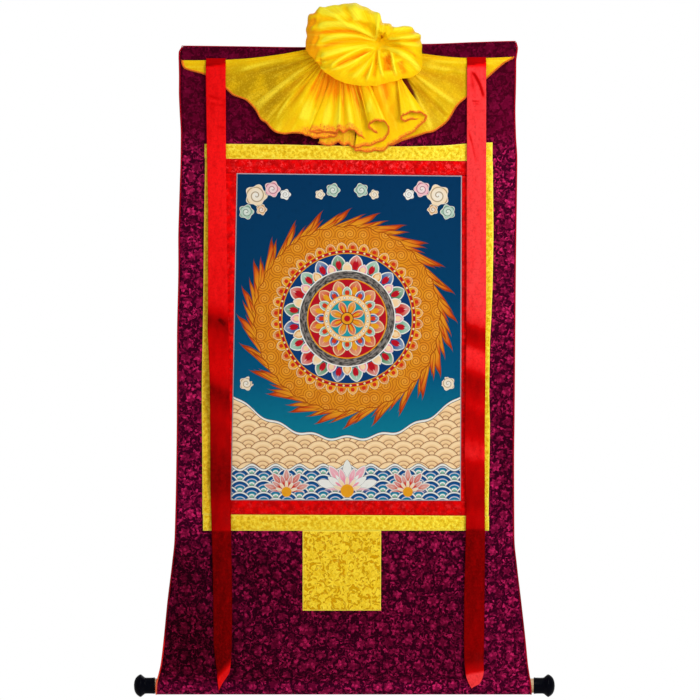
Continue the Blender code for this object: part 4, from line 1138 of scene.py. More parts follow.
def land(paint, canvas, x, y):
    """Cream hills that rise to both sides, and the sea in front of them."""
    across = abs(x)
    hill = (across / 0.2) ** 2.2 * 0.070 + (across * (TURN / 0.062)).math("COSINE") * 0.0035 - 0.1860
    shore = (x * (TURN / SEA.width)).math("COSINE") * 0.005 + SEA.level
    for edge, scales in ((hill, HILL), (shore, SEA)):
        above = y - edge
        line = abs(above)
        canvas = paint.layers(
            canvas, (above.step(0.0005, -0.0005), scale_rows(paint, x, y, scales)),
            (line.step(0.0032, 0.0026), INK), (line.step(0.0022, 0.0016), WHITE))
    return canvas


def blossom(paint, canvas, x, y, spot):
    """A lotus seen from the side: half rings of petals, one over another."""
    radius, turn = paint.polar(x - spot.x, y - spot.y)
    above = turn.step(0.49, 0.53)
    for share, fills, turned in (
        (1.0, spot.fills, 0.0), (0.76, spot.fills[::-1], 0.5), (0.48, (CREAM,) * 4, 0.0),
    ):
        ring = Petals(10, 0.0, spot.size * share, 0.98, turned, fills, WHITE, fills[1])
        canvas = paint.mix(above, canvas, petal_ring(paint, canvas, radius, turn, ring))
    return paint.mix(radius.step(spot.size * 0.22, spot.size * 0.20), canvas, AMBER)


def cloud(paint, canvas, x, y, spot):
    """A round scroll of cloud: a spiral with a pale rim."""
    radius, turn = paint.polar(x - spot.x, y - spot.y)
    edge = radius - spot.size * (0.90 + 0.10 * (turn * (TURN * 5)).math("COSINE"))
    spiral = (radius / (spot.size * 0.40) + turn).math("FRACT")
    fill = paint.layers(
        WHITE, (radius / spot.size, spot.colour),
        (abs(spiral - 0.5).step(0.16, 0.08) * 0.85, tuple(part * 0.4 for part in spot.colour)),
        (edge.step(-0.0020, -0.0012), WHITE), (edge.step(-0.0009, -0.0003), INK))
    return paint.mix(edge.step(0.0005, -0.0005), canvas, fill)


def picture_start(name):
    """A picture material with the place from the picture's middle, and round the medallion."""
    paint = Paint(name, specular_ior_level=0.03)
    x, _, y = paint.split(paint.vector("SUBTRACT", paint.object_place(), PICTURE_MIDDLE))
    radius, turn = paint.polar(x - MEDALLION_AT[0], y - MEDALLION_AT[1])
    return paint, x, y, radius / MEDALLION_SIZE, turn


def picture_end(paint, canvas, sizes):
    """The canvas's own unevenness, its bare edge and its weave over what is painted."""
    wash = paint.noise(paint.object_place(), 0.010, 3.0)
    canvas = paint.mix(wash.step(0.5, 0.9) * 0.22, canvas, (0.45, 0.42, 0.36), "MULTIPLY")
    canvas = paint.mix(paint.attribute("border"), canvas, (0.44, 0.38, 0.42))
    threads = weave(paint, paint.cloth_place(), sizes.weave_pitch * 1.3)
    return paint.finish(canvas, 0.66 + wash * 0.12, threads * 0.5 + wash * 0.4, 0.0002, 0.5)


def streaked_ring(paint, canvas, radius, turn):
    """A grey band full of fine streaks."""
    streaks = paint.noise(paint.joined(turn * 60.0, radius * 300.0), 1.1, 3.0)
    grey = paint.mix(streaks.step(0.38, 0.62), (0.035, 0.032, 0.032), (0.24, 0.21, 0.19))
    return paint.mix(radius.step(0.0850, 0.0856) * radius.step(0.1030, 0.1024), canvas, grey)


def picture_ground(sizes):
    """Sky, sea, clouds and blossoms."""
    paint, x, y, _, _ = picture_start("painted_ground")
    across = abs(x)
    canvas = land(paint, sky(paint, y), x, y)
    for spot in CLOUDS:
        canvas = cloud(paint, canvas, across, y, spot)
    for spot in BLOSSOMS:
        canvas = blossom(paint, canvas, across, y, spot)
    return picture_end(paint, canvas, sizes)


def picture_wreath(sizes):
    """The medallion's outer half."""
    paint, x, y, radius, turn = picture_start("painted_wreath")
    canvas = curled_field(paint, sky(paint, y), radius, turn, x, y)
    outermost, *others = OUTER_RINGS
    canvas = petal_ring(paint, canvas, radius, turn, outermost)
    canvas = discs(paint, canvas, radius, OUTER_DISCS)
    for ring in others:
        canvas = petal_ring(paint, canvas, radius, turn, ring)
    canvas = streaked_ring(paint, canvas, radius, turn)
    canvas = beads(paint, canvas, radius, turn, 0.1440, 60, 0.0026, CREAM)
    return picture_end(paint, ring_lines(paint, canvas, radius, OUTER_LINES), sizes)


def picture_heart(sizes):
    """The medallion's inner half."""
    paint, _, _, radius, turn = picture_start("painted_heart")
    canvas = streaked_ring(paint, STEEL, radius, turn)
    large, behind, small = INNER_RINGS
    canvas = discs(paint, canvas, radius, INNER_DISCS[:1])
    canvas = petal_ring(paint, canvas, radius, turn, large)
    canvas = petal_ring(paint, canvas, radius, turn, behind)
    canvas = discs(paint, canvas, radius, INNER_DISCS[1:3])
    canvas = petal_ring(paint, canvas, radius, turn, small)
    canvas = discs(paint, canvas, radius, INNER_DISCS[3:])
    canvas = beads(paint, canvas, radius, turn, 0.0446, 24, 0.0024, WHITE)
    return picture_end(paint, ring_lines(paint, canvas, radius, INNER_LINES), sizes)


# ---- Geometry Nodes for sewing

SEWING_INPUTS = (
    ("Spacing", "NodeSocketFloat", 0.004), ("Length", "NodeSocketFloat", 0.0026),
    ("Thread Radius", "NodeSocketFloat", 0.0003), ("Slant", "NodeSocketFloat", 0.0),
    ("Thread", "NodeSocketMaterial", None),
)


def tree_node(tree, kind, settings=None, sockets=None):
    node = tree.nodes.new(kind)
    for key, value in (settings or {}).items():
        setattr(node, key, value)
    for key, value in (sockets or {}).items():
        if isinstance(value, bpy.types.NodeSocket):
            tree.links.new(value, node.inputs[key])
        else:
            node.inputs[key].default_value = value
    return node


def sewing_tree(name, form):
    """A modifier's node tree with named inputs that sets a form of thread at even steps along curves.
    The form is a function of the tree, its inputs and the turn at each step, and gives the sockets of
    the node that places it."""
    tree = bpy.data.node_groups.new(name, "GeometryNodeTree")
    tree.interface.new_socket("Geometry", in_out="INPUT", socket_type="NodeSocketGeometry")
    for label, kind, value in SEWING_INPUTS:
        socket = tree.interface.new_socket(label, in_out="INPUT", socket_type=kind)
        if value is not None:
            socket.default_value = value
    tree.interface.new_socket("Geometry", in_out="OUTPUT", socket_type="NodeSocketGeometry")
    given = tree.nodes.new("NodeGroupInput").outputs
    points = tree_node(tree, "GeometryNodeCurveToPoints", {"mode": "LENGTH"},
                       {"Curve": given["Geometry"], "Length": given["Spacing"]}).outputs
    turn = tree_node(tree, "FunctionNodeAlignRotationToVector", {"axis": "Z"}, {"Vector": points["Tangent"]})
    sockets = {"Points": points["Points"], **form(tree, given, turn.outputs[0])}
    step = tree_node(tree, "GeometryNodeInstanceOnPoints", None, sockets)
    for kind, more in (("GeometryNodeRealizeInstances", {}), ("GeometryNodeSetShadeSmooth", {}),
                       ("GeometryNodeSetMaterial", {"Material": given["Thread"]})):
        step = tree_node(tree, kind, None, {"Geometry": step.outputs[0], **more})
    tree.links.new(step.outputs[0], tree.nodes.new("NodeGroupOutput").inputs["Geometry"])
    return tree


def stitch_form(tree, given, turn):
    """A short raised stitch that lies along the curve."""
    ball = tree_node(tree, "GeometryNodeMeshUVSphere", None, {"Segments": 6, "Rings": 4, "Radius": 1.0})
    half = tree_node(tree, "ShaderNodeMath", {"operation": "MULTIPLY"}, {0: given["Length"], 1: 0.5})
    size = tree_node(tree, "ShaderNodeCombineXYZ", None,
                     {0: given["Thread Radius"], 1: given["Thread Radius"], 2: half.outputs[0]})
    return {"Instance": ball.outputs["Mesh"], "Rotation": turn, "Scale": size.outputs[0]}


def loop_form(tree, given, turn):
    """A loop of thread wound round the curve, at a slant."""
    circle = "GeometryNodeCurvePrimitiveCircle"
    loop = tree_node(tree, circle, None, {"Resolution": 8, "Radius": given["Length"]})
    strand = tree_node(tree, circle, None, {"Resolution": 4, "Radius": given["Thread Radius"]})
    shape = tree_node(tree, "GeometryNodeCurveToMesh", None,
                      {"Curve": loop.outputs["Curve"], "Profile Curve": strand.outputs["Curve"]})
    lean = tree_node(tree, "FunctionNodeAxisAngleToRotation", None,
                     {"Axis": (1.0, 0.0, 0.0), "Angle": given["Slant"]})
    turned = tree_node(tree, "FunctionNodeRotateRotation", {"rotation_space": "LOCAL"},
                       {"Rotation": turn, "Rotate By": lean.outputs[0]})
    return {"Instance": shape.outputs["Mesh"], "Rotation": turned.outputs[0]}


def sewn(name, tree, lines, material, slot, **values):
    """A piece made by a sewing tree along the given lines of points."""
    curve = bpy.data.curves.new(name + "_lines", "CURVE")
    curve.dimensions = "3D"
    for line in lines:
        spline = curve.splines.new("POLY")
        spline.points.add(len(line) - 1)
        spline.points.foreach_set("co", np.column_stack([line, np.ones(len(line))]).ravel())
    helper = linked(name + "_lines", curve)
    modifier = helper.modifiers.new("Sewing", "NODES")
    modifier.node_group = tree
    wanted = {key.replace("_", " ").title(): value for key, value in values.items()}
    wanted["Thread"] = material
    for item in tree.interface.items_tree:
        if item.in_out == "INPUT" and item.name in wanted:
            modifier[item.identifier] = wanted[item.name]
    mesh = settled(helper, name)
    bpy.data.curves.remove(curve)
    return add_piece(name, mesh, None, slot)


# ---- the cloth and its panels

def cloth_path():
    """The cloth's middle surface seen from the side, as (depth behind y = 0, drop) from the hem's back
    layer over the top edge, down the front and round the roller."""
    front = CLOTH_THICKNESS / 2
    back = front + CLOTH_THICKNESS + HEM_LAYER_GAP
    axis = (front + back) / 2
    turn_radius = (back - front) / 2
    path = [(back, drop) for drop in np.linspace(HEM_DEPTH, turn_radius, HEM_STATIONS + 1)[:-1]]
    for angle in np.linspace(0, math.pi, TURN_STATIONS):
        path.append((front + turn_radius * (1 + math.cos(angle)), turn_radius * (1 - math.sin(angle))))
    seam_drop = ROLLER_DROP - WRAP_SEAM_RISE
    path += [(front, drop) for drop in np.linspace(turn_radius, seam_drop, CLOTH_ROWS)[1:]]
    meets = math.acos(WRAP_RADIUS / WRAP_SEAM_RISE)
    for angle in np.linspace(meets, TURN - meets, WRAP_STATIONS):
        path.append((axis - WRAP_RADIUS * math.sin(angle), ROLLER_DROP - WRAP_RADIUS * math.cos(angle)))
    return path + [(back, seam_drop - SEAM_ALLOWANCE * share) for share in SEAM_SHARES]


def free_folds(x, drop):
    """The cloth's own low folds below and beside the sewn panels, where it hangs free."""
    below = between(0.915, 1.000, 1.105, 1.150, drop)
    clear = np.clip(eased(0.070, 0.100, np.abs(x + 0.008)) + eased(1.050, 1.075, drop), 0, 1)
    upright = rumple(x, drop * 0.25, 0.085, 5) * 0.0012
    beside = eased(0.268, 0.285, np.abs(x)) * between(0.08, 0.2, 0.95, 1.0, drop)
    return below * clear * upright + beside * rumple(x * 0.6, drop, 0.16, 9) * 0.0005


def cloth_points(path, x):
    """Points of the cloth's path at places x across, with the cloth's own waves on its hanging stretch."""
    depth, drop = np.array(path).T[..., None]
    rise = table_value(CLOTH_TOP, "rise", x) * (1 - eased(0, TOP_SLOPE_FADES_AT, drop))
    waves = np.where(depth > CLOTH_THICKNESS, 0, cloth_out(x, drop) + free_folds(x, drop))
    return placed(x, waves - depth, drop - rise)


def cloth_across(path):
    """The drops of a path's stations, and the cloth's two edges there, which the piping covers."""
    drop = np.array(path)[:, 1:]
    left, right = table_value(CLOTH_EDGES, "left", drop), table_value(CLOTH_EDGES, "right", drop)
    return drop, left + EDGE_TAKEN_LEFT, right - EDGE_TAKEN_RIGHT


def stations(length, cell):
    """Shares of a length at even cells, and closer together near both ends."""
    even = np.linspace(0, length, max(3, round(length / cell)) + 1)[1:-1]
    ends = np.array(EDGE_STATIONS)
    clear = ends[-1] * 1.2
    inner = even[(even > clear) & (even < length - clear)]
    return np.concatenate([ends, inner, length - ends[::-1]]) / length


def panel_points(corners, cell, puff=0.0003, seam_pull=0.0002, creases=(), seed=1, bow=None):
    """A sewn panel's front: it lies on the cloth's waves, dips at its seams and puckers along them. With
    it comes each point's distance from the nearest edge. A bow gives how far the panel is pulled across
    and down at its outer edge."""
    (x0, d0), (x1, d1), (x2, d2), (x3, d3) = corners
    down, across = stations(d2 - d0, cell)[:, None], stations(x1 - x0, cell)[None, :]
    x = (x0 * (1 - across) + x1 * across) * (1 - down) + (x2 * (1 - across) + x3 * across) * down
    drop = (d0 * (1 - across) + d1 * across) * (1 - down) + (d2 * (1 - across) + d3 * across) * down
    side = np.minimum(across, 1 - across) * (x1 - x0)
    end = np.minimum(down, 1 - down) * (d2 - d0)
    if bow is not None:
        x, drop = bow(x, drop, across, down)
    nearest = np.minimum(side, end)
    round_edge = eased(0, EDGE_STATIONS[-1], nearest)
    pucker = np.exp(-nearest / 0.006) * (rumple(x, drop, 0.011, seed) * seam_pull)
    out = cloth_out(x, drop) + PANEL_LIFT + PANEL_THICKNESS - 0.0003 * (1 - round_edge)
    out = out + puff * round_edge + pucker * round_edge + creased(x, drop, creases)
    return placed(x, out, drop), nearest


def edge_lines(corners, inset, sides="tblr"):
    """Lines of points just above a panel, parallel to its edges, for its stitches."""
    (x0, d0), (x1, d1), (x2, d2), (x3, d3) = corners
    top_left, top_right = (x0 + inset, d0 + inset), (x1 - inset, d1 + inset)
    low_left, low_right = (x2 + inset, d2 - inset), (x3 - inset, d3 - inset)
    ends = {"t": (top_left, top_right), "b": (low_left, low_right),
            "l": (top_left, low_left), "r": (top_right, low_right)}
    lines = []
    for side in sides:
        (xa, da), (xb, db) = ends[side]
        count = max(2, round(math.hypot(xb - xa, db - da) / STITCH_LINE_CELL))
        part = np.linspace(0, 1, count + 1)
        x, drop = xa + (xb - xa) * part, da + (db - da) * part
        lines.append(placed(x, cloth_out(x, drop) + PANEL_LIFT + PANEL_THICKNESS + STITCH_LIFT, drop))
    return lines


def strips(outer, inner):
    """The four strips between two outlines: the top and bottom ones run full width."""
    (left, _), (right, _), (low_left, _), (low_right, _) = outer
    (in_left, top_left), (in_right, top_right), (in_low_left, foot_left), (in_low_right, foot_right) = inner
    return {
        "top": Corners(outer.left_top, outer.right_top, (left, top_left - SEAM), (right, top_right - SEAM)),
        "bottom": Corners((low_left, foot_left + SEAM), (low_right, foot_right + SEAM),
                          outer.left_bottom, outer.right_bottom),
        "left": Corners((left, top_left), (in_left - SEAM, top_left),
                        (low_left, foot_left), (in_low_left - SEAM, foot_left)),
        "right": Corners((in_right + SEAM, top_right), (right, top_right),
                         (in_low_right + SEAM, foot_right), (low_right, foot_right)),
    }


def flat_size(corners):
    """A panel's width and length before it was sewn on."""
    left_top, right_top, left_bottom, _ = corners
    return right_top[0] - left_top[0], left_bottom[1] - left_top[1]


# ---- the veil

def cord(table, places):
    """A rounder curve through each column of a table in millimetres, in metres."""
    columns = zip(table[0]._fields, zip(*table))
    return {name: round_curve(column, places) * MM for name, column in columns}


def fan_points():
    """The veil's fan of folds, its places across the fold numbers, and its rows from gather to hem."""
    numbers = len(VEIL_FOLDS) - 1
    places = np.linspace(0, numbers, numbers * VEIL_COLUMNS_A_FOLD + 1)
    hem = cord(VEIL_FOLDS, places)
    top = {name: table_value(VEIL_GATHER, name, places) * MM for name in ("x", "drop", "out")}
    down = np.append(np.linspace(0, 1, VEIL_ROWS + 1) ** VEIL_ROW_EASE, VEIL_EXTRA_ROWS)
    down = np.sort(down)[:, None]
    x = top["x"] * (1 - down) + hem["hem_x"] * down
    drop = top["drop"] * (1 - down) + hem["hem_drop"] * down + hem["sag"] * np.sin(math.pi * down)
    drop = drop + 0.0012 * np.sin(places * 4.4) * down ** 8 * between(17, 20, 70, 76, places)
    ripple = 0.0010 * np.sin(places * 2.9 + 0.7) + 0.0007 * np.sin(places * 5.3)
    out = hem["hem_out"] + (top["out"] + ripple * 2 - hem["hem_out"]) * (1 - down) ** VEIL_OUT_EASE
    out = out + between(9, 14, 82, 86, places) * ripple * np.sin(math.pi * down * 0.9) * 0.8
    free = eased(0.02, 0.3, down) * (1 - 0.6 * eased(0.85, 1.0, down))
    out = out + free * creased(x, drop, WING_CREASES) * (1 - between(*FRONT_FOLDS, places))
    cloth = cloth_out(x, drop)
    return placed(x, np.maximum(out + cloth, cloth + VEIL_CLEARANCE + VEIL_THICKNESS), drop), places, down


def fan_sheer(places, down, hollow):
    """How sheer the silk is: most in the wings, and less along their turned top edges."""
    turned = (1 - eased(1.5, 6.5, places)) * 0.62 + eased(87, 91, places) * 0.30
    sheer = np.clip(1 - eased(10, 19, places) + eased(76, 80, places) * 0.62 - turned, 0, 1) + 0 * down
    sheer = np.clip(sheer + 0.25 * np.clip(hollow, 0, 1) * (sheer > 0.3), 0, 1)
    return sheer * (1 - 0.55 * (1 - eased(0.05, 0.42, down)) * (1 - eased(18, 22, places)))


def fan_painted_shade(points, places, down, hollow, sheer, under):
    """Painted shade at each place, from how deep it lies in the folds, the creases and the shade of the puff;
    below 0 it is a painted highlight.
    """
    wing_ends, front_starts, front_ends, wing_starts = FRONT_FOLDS
    hollow = hollow * (1 - 0.6 * between(17, 20, 28, 32, places) * (1 - eased(0.85, 0.95, down)))
    drawn = (1 - eased(wing_ends, front_starts, places)) + 1.8 * eased(front_ends, wing_starts, places)
    x, drop = points[..., 0], -points[..., 2]
    # Painted light and shade of the wing creases, and painted shade at the wings' ends, by the notch and
    # below the puff.
    folds = creased(x, drop, WING_CREASES) / HOLLOW_DEPTH * eased(0.10, 0.45, down)
    edge = (1 - eased(2.0, 8.0, places)) * 0.22 + eased(86, 91, places) * 0.30
    notch_shade = np.exp(-(((places - 77.0) / 1.5) ** 2)) * between(0.05, 0.15, 0.50, 0.80, down)
    shade_below_puff = (1 - eased(0.30, 0.66, down)) * between(15, 19, 34, 42, places)
    hollow = hollow * (1 - 0.45 * sheer) + under * 0.60 + shade_below_puff * 0.55 - 0.8 * folds * drawn
    hollow = np.clip(hollow + edge + notch_shade, -1, 1)
    # Patches of painted sheen.
    for patch in VEIL_SHEEN:
        across, below = x / MM - patch.x, drop / MM - patch.drop
        along, aside = across * patch.lean + below, across - below * patch.lean
        inside = (along / patch.half_length) ** 2 + (aside / patch.half_width) ** 2
        inside = inside + 0.35 * rumple(across, below, SHEEN_UNEVEN, 17)
        hollow = hollow - patch.amount * (1 - eased(0.15, 1.15, inside)) * eased(14, 16, places)
    return np.clip(hollow, -1, 1)


def fan_values(points, places, down):
    """The looks of the fan: how sheer each place is, its painted shade and highlights, the painted dark slit,
    its pleat, and its hem's tint.
    """
    out = -points[..., 1]
    hollow = np.clip((smoothed(out, HOLLOW_PASSES) - out) / HOLLOW_DEPTH, -1, 1)
    sheer = fan_sheer(places, down, hollow)
    # Painted shade of the puff on the folds below it.
    under = (1 - eased(0.36, 0.80, down)) * between(6, 18, 64, 72, places)
    hollow = fan_painted_shade(points, places, down, hollow, sheer, under)
    # A painted dark slit beside the front folds: shade, with the dark cloth behind.
    along, aside, length = beside_line(points[..., 0] / MM, -points[..., 2] / MM, *SLIT)
    slit = (1 - eased(0.0, 2.4, 0.05 * along * length - aside)) * (1 - eased(0.45, 0.95, along))
    lace = 0.95 * between(17, 19, 35, 38, places) * eased(0.880, 0.930, down)
    lace = lace + between(16, 19, 75, 78, places) * eased(0.955, 0.970, down) + eased(0.985, 0.990, down)
    return {"sheer": sheer * (1 - under * 0.8), "hollow": hollow, "glow": 0.0, "pleat": places / 10,
            "down": down, "hem": np.clip(lace, 0, 1) * HEM_TINT, "deep": slit * (places > 73)}


def ply_points():
    """The veil's back ply, which hangs a little below the front one near its middle, and its looks."""
    last = len(PLY_HEM) - 1
    places = np.linspace(0, last, last * PLY_COLUMNS_A_PLACE + 1)
    hem = cord(PLY_HEM, places)
    down = np.linspace(0, 1, VEIL_ROWS + 1)[:, None]
    x = (PLY_TOP_LEFT + PLY_TOP_WIDTH * places / last) * (1 - down) + hem["x"] * down
    drop = PLY_TOP_DROP * (1 - down) + hem["drop"] * down
    out = PLY_TOP_OUT * (1 - down) ** 1.5 + hem["out"] * down ** 2 + cloth_out(x, drop)
    # Painted shade in each of its folds.
    return placed(x, out, drop), {
        "sheer": 0.35, "hollow": 0.35 * np.sin(places * math.pi) ** 2 + 0.15 + 0 * down, "glow": 0.0,
        "pleat": places / 8, "down": down, "deep": 0.0,
        "hem": 0.35 * eased(0.75, 0.85, down) + 0.6 * eased(0.955, 0.975, down)}


def puff_points():
    """The puff and its looks: rings from near the knot, over the front, to the back. Its looks hold painted
    shade, painted highlights and a painted glow.
    """
    degrees = np.arange(PUFF_COLUMNS) * 360 / PUFF_COLUMNS
    along = np.append(np.linspace(PUFF_FROM, PUFF_TO, PUFF_RINGS + 1), PUFF_BACK)[:, None]
    turns = np.radians(degrees)
    reach = table_value(PUFF_OUTLINE, "reach", degrees)[None, :] * table_value(PUFF_SECTION, "reach", along)
    x = KNOT_X + reach * np.cos(turns)
    drop = KNOT_DROP - reach * np.sin(turns)
    base = placed(x, table_value(PUFF_SECTION, "out", along) + cloth_out(x, drop), drop)
    front = 1 - eased(0.66, 0.80, along)
    height = creased(x, drop, PUFF_CREASES)
    fine = rumple(degrees / 14.0, along * 3.0, 1.0, 3) * 0.0009 * eased(0.1, 0.3, along)
    pinch = -0.005 * np.exp(-((reach / 0.010) ** 2))
    pleats = 0.0011 * (1 + np.sin(turns * PUFF_PLEATS + 2.0 * np.sin(turns * 5))) * eased(0.70, 0.86, along)
    crumple = rumple(x * 1.4, drop + x * 0.5, 0.017, 23)
    lift = front * (height + fine) + pinch - pleats * (1 - eased(0.93, 1.0, along))
    lift = lift + 0.0018 * eased(-0.098, -0.116, x - KNOT_X) * crumple
    points = base + grid_normals(base, True) * lift[..., None]

    # Painted shade, orange on the left flank, in the troughs and pleats and round the upper rim; painted
    # highlights on ridges and over the top.
    flank_shade = eased(-0.100, -0.120, x - KNOT_X) * (0.80 + 0.20 * eased(-0.050, -0.010, drop) - 0.40 * crumple)
    hollow = np.clip(-height / PUFF_HOLLOW_DEPTH, -1, 1) + 1.45 * flank_shade
    hollow = hollow - 0.40 * crest(height, 5, 0.0009) * (1 - 0.6 * flank_shade)
    hollow = hollow + 0.20 * eased(0.58, 0.70, along) * (drop < 0) * (1 - flank_shade)
    hollow = hollow - 0.50 * eased(-0.025, -0.055, drop) * (1 - flank_shade) + 250 * pleats
    # Painted glow on the underside and the left flank.
    glow = np.clip(-grid_normals(points, True)[..., 2] * 1.3, 0, 1) * eased(0.0, 0.03, drop) + 0.55 * flank_shade
    return points, {"sheer": 0.0, "hollow": np.clip(hollow, -1, 1), "glow": np.clip(glow, 0, 1),
                    "pleat": degrees / 24, "down": along, "hem": 0.0, "deep": 0.0}


def crest(height, passes, size):
    """1 on narrow ridges, -1 in narrow troughs."""
    return np.clip((height - smoothed(height, passes, True)) / size, -1, 1)


# ---- settings, operators and panel

def length_property(name, description, default):
    return bpy.props.FloatProperty(name=name, description=description, default=default, min=0.0,
                                   unit="LENGTH", precision=5)


def colour_property(name, description, default):
    return bpy.props.FloatVectorProperty(name=name, description=description, default=default, size=3,
                                         min=0.0, max=1.0, subtype="COLOR")


class ScrollSizes(bpy.types.PropertyGroup):
    """Sizes of the scroll's fine parts."""

    weave_pitch: length_property("Weave pitch", "Distance between neighbouring threads", 0.0012)
    stitch_spacing: length_property("Stitch spacing", "Distance between running stitches", 0.0042)
    stitch_length: length_property("Stitch length", "Length of one running stitch", 0.0027)
    thread_radius: length_property("Thread radius", "Radius of the sewing thread", 0.00028)
    hem_loop_radius: length_property("Hem loop radius", "Radius of the overcast hem loops", 0.0013)
    hem_loop_spacing: length_property("Hem loop spacing", "Distance between the overcast loops", 0.0013)


class ScrollColours(bpy.types.PropertyGroup):
    """Main colours of the scroll's finishes."""

    brocade_ground: colour_property("Brocade ground", "Ground of the maroon brocade", (0.034, 0.0003, 0.0110))
    brocade_dim: colour_property("Brocade figure, dim", "Dull threads of the figure", (0.092, 0.0008, 0.02))
    brocade_figure: colour_property("Brocade figure", "Bright threads of the figure", (0.62, 0.016, 0.13))
    gold_figure: colour_property("Gold figure", "Figure of the yellow brocade", (0.94, 0.69, 0.030))
    red_ground: colour_property("Red ground", "Ground of the red brocade", (0.79, 0.0010, 0.0014))
    ribbon: colour_property("Ribbon", "Lit satin", (0.95, 0.0016, 0.0020))
    ribbon_shade: colour_property("Ribbon shade", "Satin in its shaded stretches", (0.110, 0.0002, 0.0004))
    piping: colour_property("Piping", "Red piping cord", (0.58, 0.0012, 0.016))
    silk: colour_property("Silk", "Gathered silk of the veil", (0.97, 0.68, 0.003))
    silk_shade: colour_property("Silk hollow", "Silk deep in its folds", (0.94, 0.40, 0.0008))
    hem_thread: colour_property("Hem thread", "Overcast thread of the veil's hem", (1.0, 0.27, 0.022))
    wood: colour_property("Wood", "Roller wood", (0.74, 0.55, 0.34))
    lacquer: colour_property("Lacquer", "Knob lacquer", (0.0012, 0.0014, 0.0040))


def built(build, context):
    """Run a builder with the scene's colours and sizes."""
    build(context.scene.scroll_colours, context.scene.scroll_sizes)
    return {"FINISHED"}


class SCROLL_OT_stage(bpy.types.Operator):
    """Set up the floor, lights, background and camera"""

    bl_idname = "scroll.stage"
    bl_label = "Stage"

    def execute(self, context):
        build_stage(context.scene)
        return {"FINISHED"}


class SCROLL_OT_backing(bpy.types.Operator):
    """Make the brocade cloth with its hem and its wrap round the roller"""

    bl_idname = "scroll.backing"
    bl_label = "Backing"

    def execute(self, context):
        return built(build_backing, context)


class SCROLL_OT_piping(bpy.types.Operator):
    """Make the red piping along the cloth's edges"""

    bl_idname = "scroll.piping"
    bl_label = "Piping"

    def execute(self, context):
        return built(build_piping, context)


class SCROLL_OT_frames(bpy.types.Operator):
    """Make the yellow and red frames and the square patch"""

    bl_idname = "scroll.frames"
    bl_label = "Frames"

    def execute(self, context):
        return built(build_frames, context)


class SCROLL_OT_picture(bpy.types.Operator):
    """Make the painted canvas"""

    bl_idname = "scroll.picture"
    bl_label = "Picture"

    def execute(self, context):
        return built(build_picture, context)


class SCROLL_OT_ribbons(bpy.types.Operator):
    """Make the two satin ribbons"""

    bl_idname = "scroll.ribbons"
    bl_label = "Ribbons"

    def execute(self, context):
        return built(build_ribbons, context)


class SCROLL_OT_veil(bpy.types.Operator):
    """Make the gathered silk veil with its puff and overcast hem"""

    bl_idname = "scroll.veil"
    bl_label = "Veil"

    def execute(self, context):
        return built(build_veil, context)


class SCROLL_OT_roller(bpy.types.Operator):
    """Finish the wooden roller and make its knobs"""

    bl_idname = "scroll.roller"
    bl_label = "Roller"

    def execute(self, context):
        return built(build_roller, context)


OPERATORS = (SCROLL_OT_stage, SCROLL_OT_backing, SCROLL_OT_piping, SCROLL_OT_frames, SCROLL_OT_picture,
             SCROLL_OT_ribbons, SCROLL_OT_veil, SCROLL_OT_roller)


class SCROLL_PT_panel(bpy.types.Panel):
    """The scroll's pieces, sizes and colours"""

    bl_label = "Hanging Scroll"
    bl_idname = "SCROLL_PT_panel"
    bl_space_type = "VIEW_3D"
    bl_region_type = "UI"
    bl_category = "Scroll"

    def draw(self, context):
        for group in (context.scene.scroll_sizes, context.scene.scroll_colours):
            box = self.layout.box()
            for name in group.__annotations__:
                box.prop(group, name)
        for operator in OPERATORS:
            self.layout.operator(operator.bl_idname)


CLASSES = (ScrollSizes, ScrollColours, *OPERATORS, SCROLL_PT_panel)


def register():
    for item in CLASSES:
        bpy.utils.register_class(item)
    bpy.types.Scene.scroll_sizes = bpy.props.PointerProperty(type=ScrollSizes)
    bpy.types.Scene.scroll_colours = bpy.props.PointerProperty(type=ScrollColours)


def unregister():
    del bpy.types.Scene.scroll_colours
    del bpy.types.Scene.scroll_sizes
    for item in reversed(CLASSES):
        bpy.utils.unregister_class(item)


# ---- the builders

VIEW_WIDTH = 700 * 0.001846  # metres across the picture at the cloth
LENS = 400.0
SENSOR = 36.0
VIEW_CENTRE = (0.00646, -0.56303)  # across and up
FLOOR_HALF, FLOOR_LEVEL = 5.5, -1.46
LIGHTS = (  # name, place, aim, width and height, power, colour
    ("key", (1.15, -1.75, 0.30), (0.05, 0.0, -0.50), (0.9, 1.2), 30.0, (1.0, 0.985, 0.96)),
    ("fill", (-1.6, -2.2, -0.4), (0.0, 0.0, -0.60), (1.4, 1.6), 9.0, (0.97, 0.985, 1.0)),
    ("top", (0.1, -0.7, 1.35), (0.05, 0.0, -0.10), (1.0, 0.5), 4.0, (1.0, 0.99, 0.97)),
    ("back", (0.4, 2.2, 0.6), (0.0, 0.0, -0.60), (1.6, 1.6), 12.0, (1.0, 1.0, 1.0)),
)


def add_light(name, place, aim, size, power, colour):
    """A rectangular light that looks from a place to an aim and is not seen itself."""
    data = bpy.data.lights.new(name, "AREA")
    data.shape = "RECTANGLE"
    data.size, data.size_y = size
    data.energy = power
    data.color = colour
    light = linked(name, data)
    light.location = place
    x, y, z = (to - start for to, start in zip(aim, place))
    light.rotation_euler = (math.atan2(math.hypot(x, y), -z), 0, -math.atan2(x, y))
    light.visible_camera = False


def build_world(scene):
    """Soft light all round, seen as plain white."""
    world = bpy.data.worlds.new("studio")
    scene.world = world
    world.use_nodes = True
    nodes, links = world.node_tree.nodes, world.node_tree.links
    soft, plain = nodes["Background"], nodes.new("ShaderNodeBackground")
    for background, colour, strength in ((soft, (1.0, 0.99, 0.97, 1), 0.36), (plain, (1, 1, 1, 1), 1.0)):
        background.inputs["Color"].default_value = colour
        background.inputs["Strength"].default_value = strength
    choice = nodes.new("ShaderNodeMixShader")
    for index, source in enumerate((nodes.new("ShaderNodeLightPath").outputs["Is Camera Ray"],
                                    soft.outputs[0], plain.outputs[0])):
        links.new(source, choice.inputs[index])
    links.new(choice.outputs[0], nodes["World Output"].inputs["Surface"])


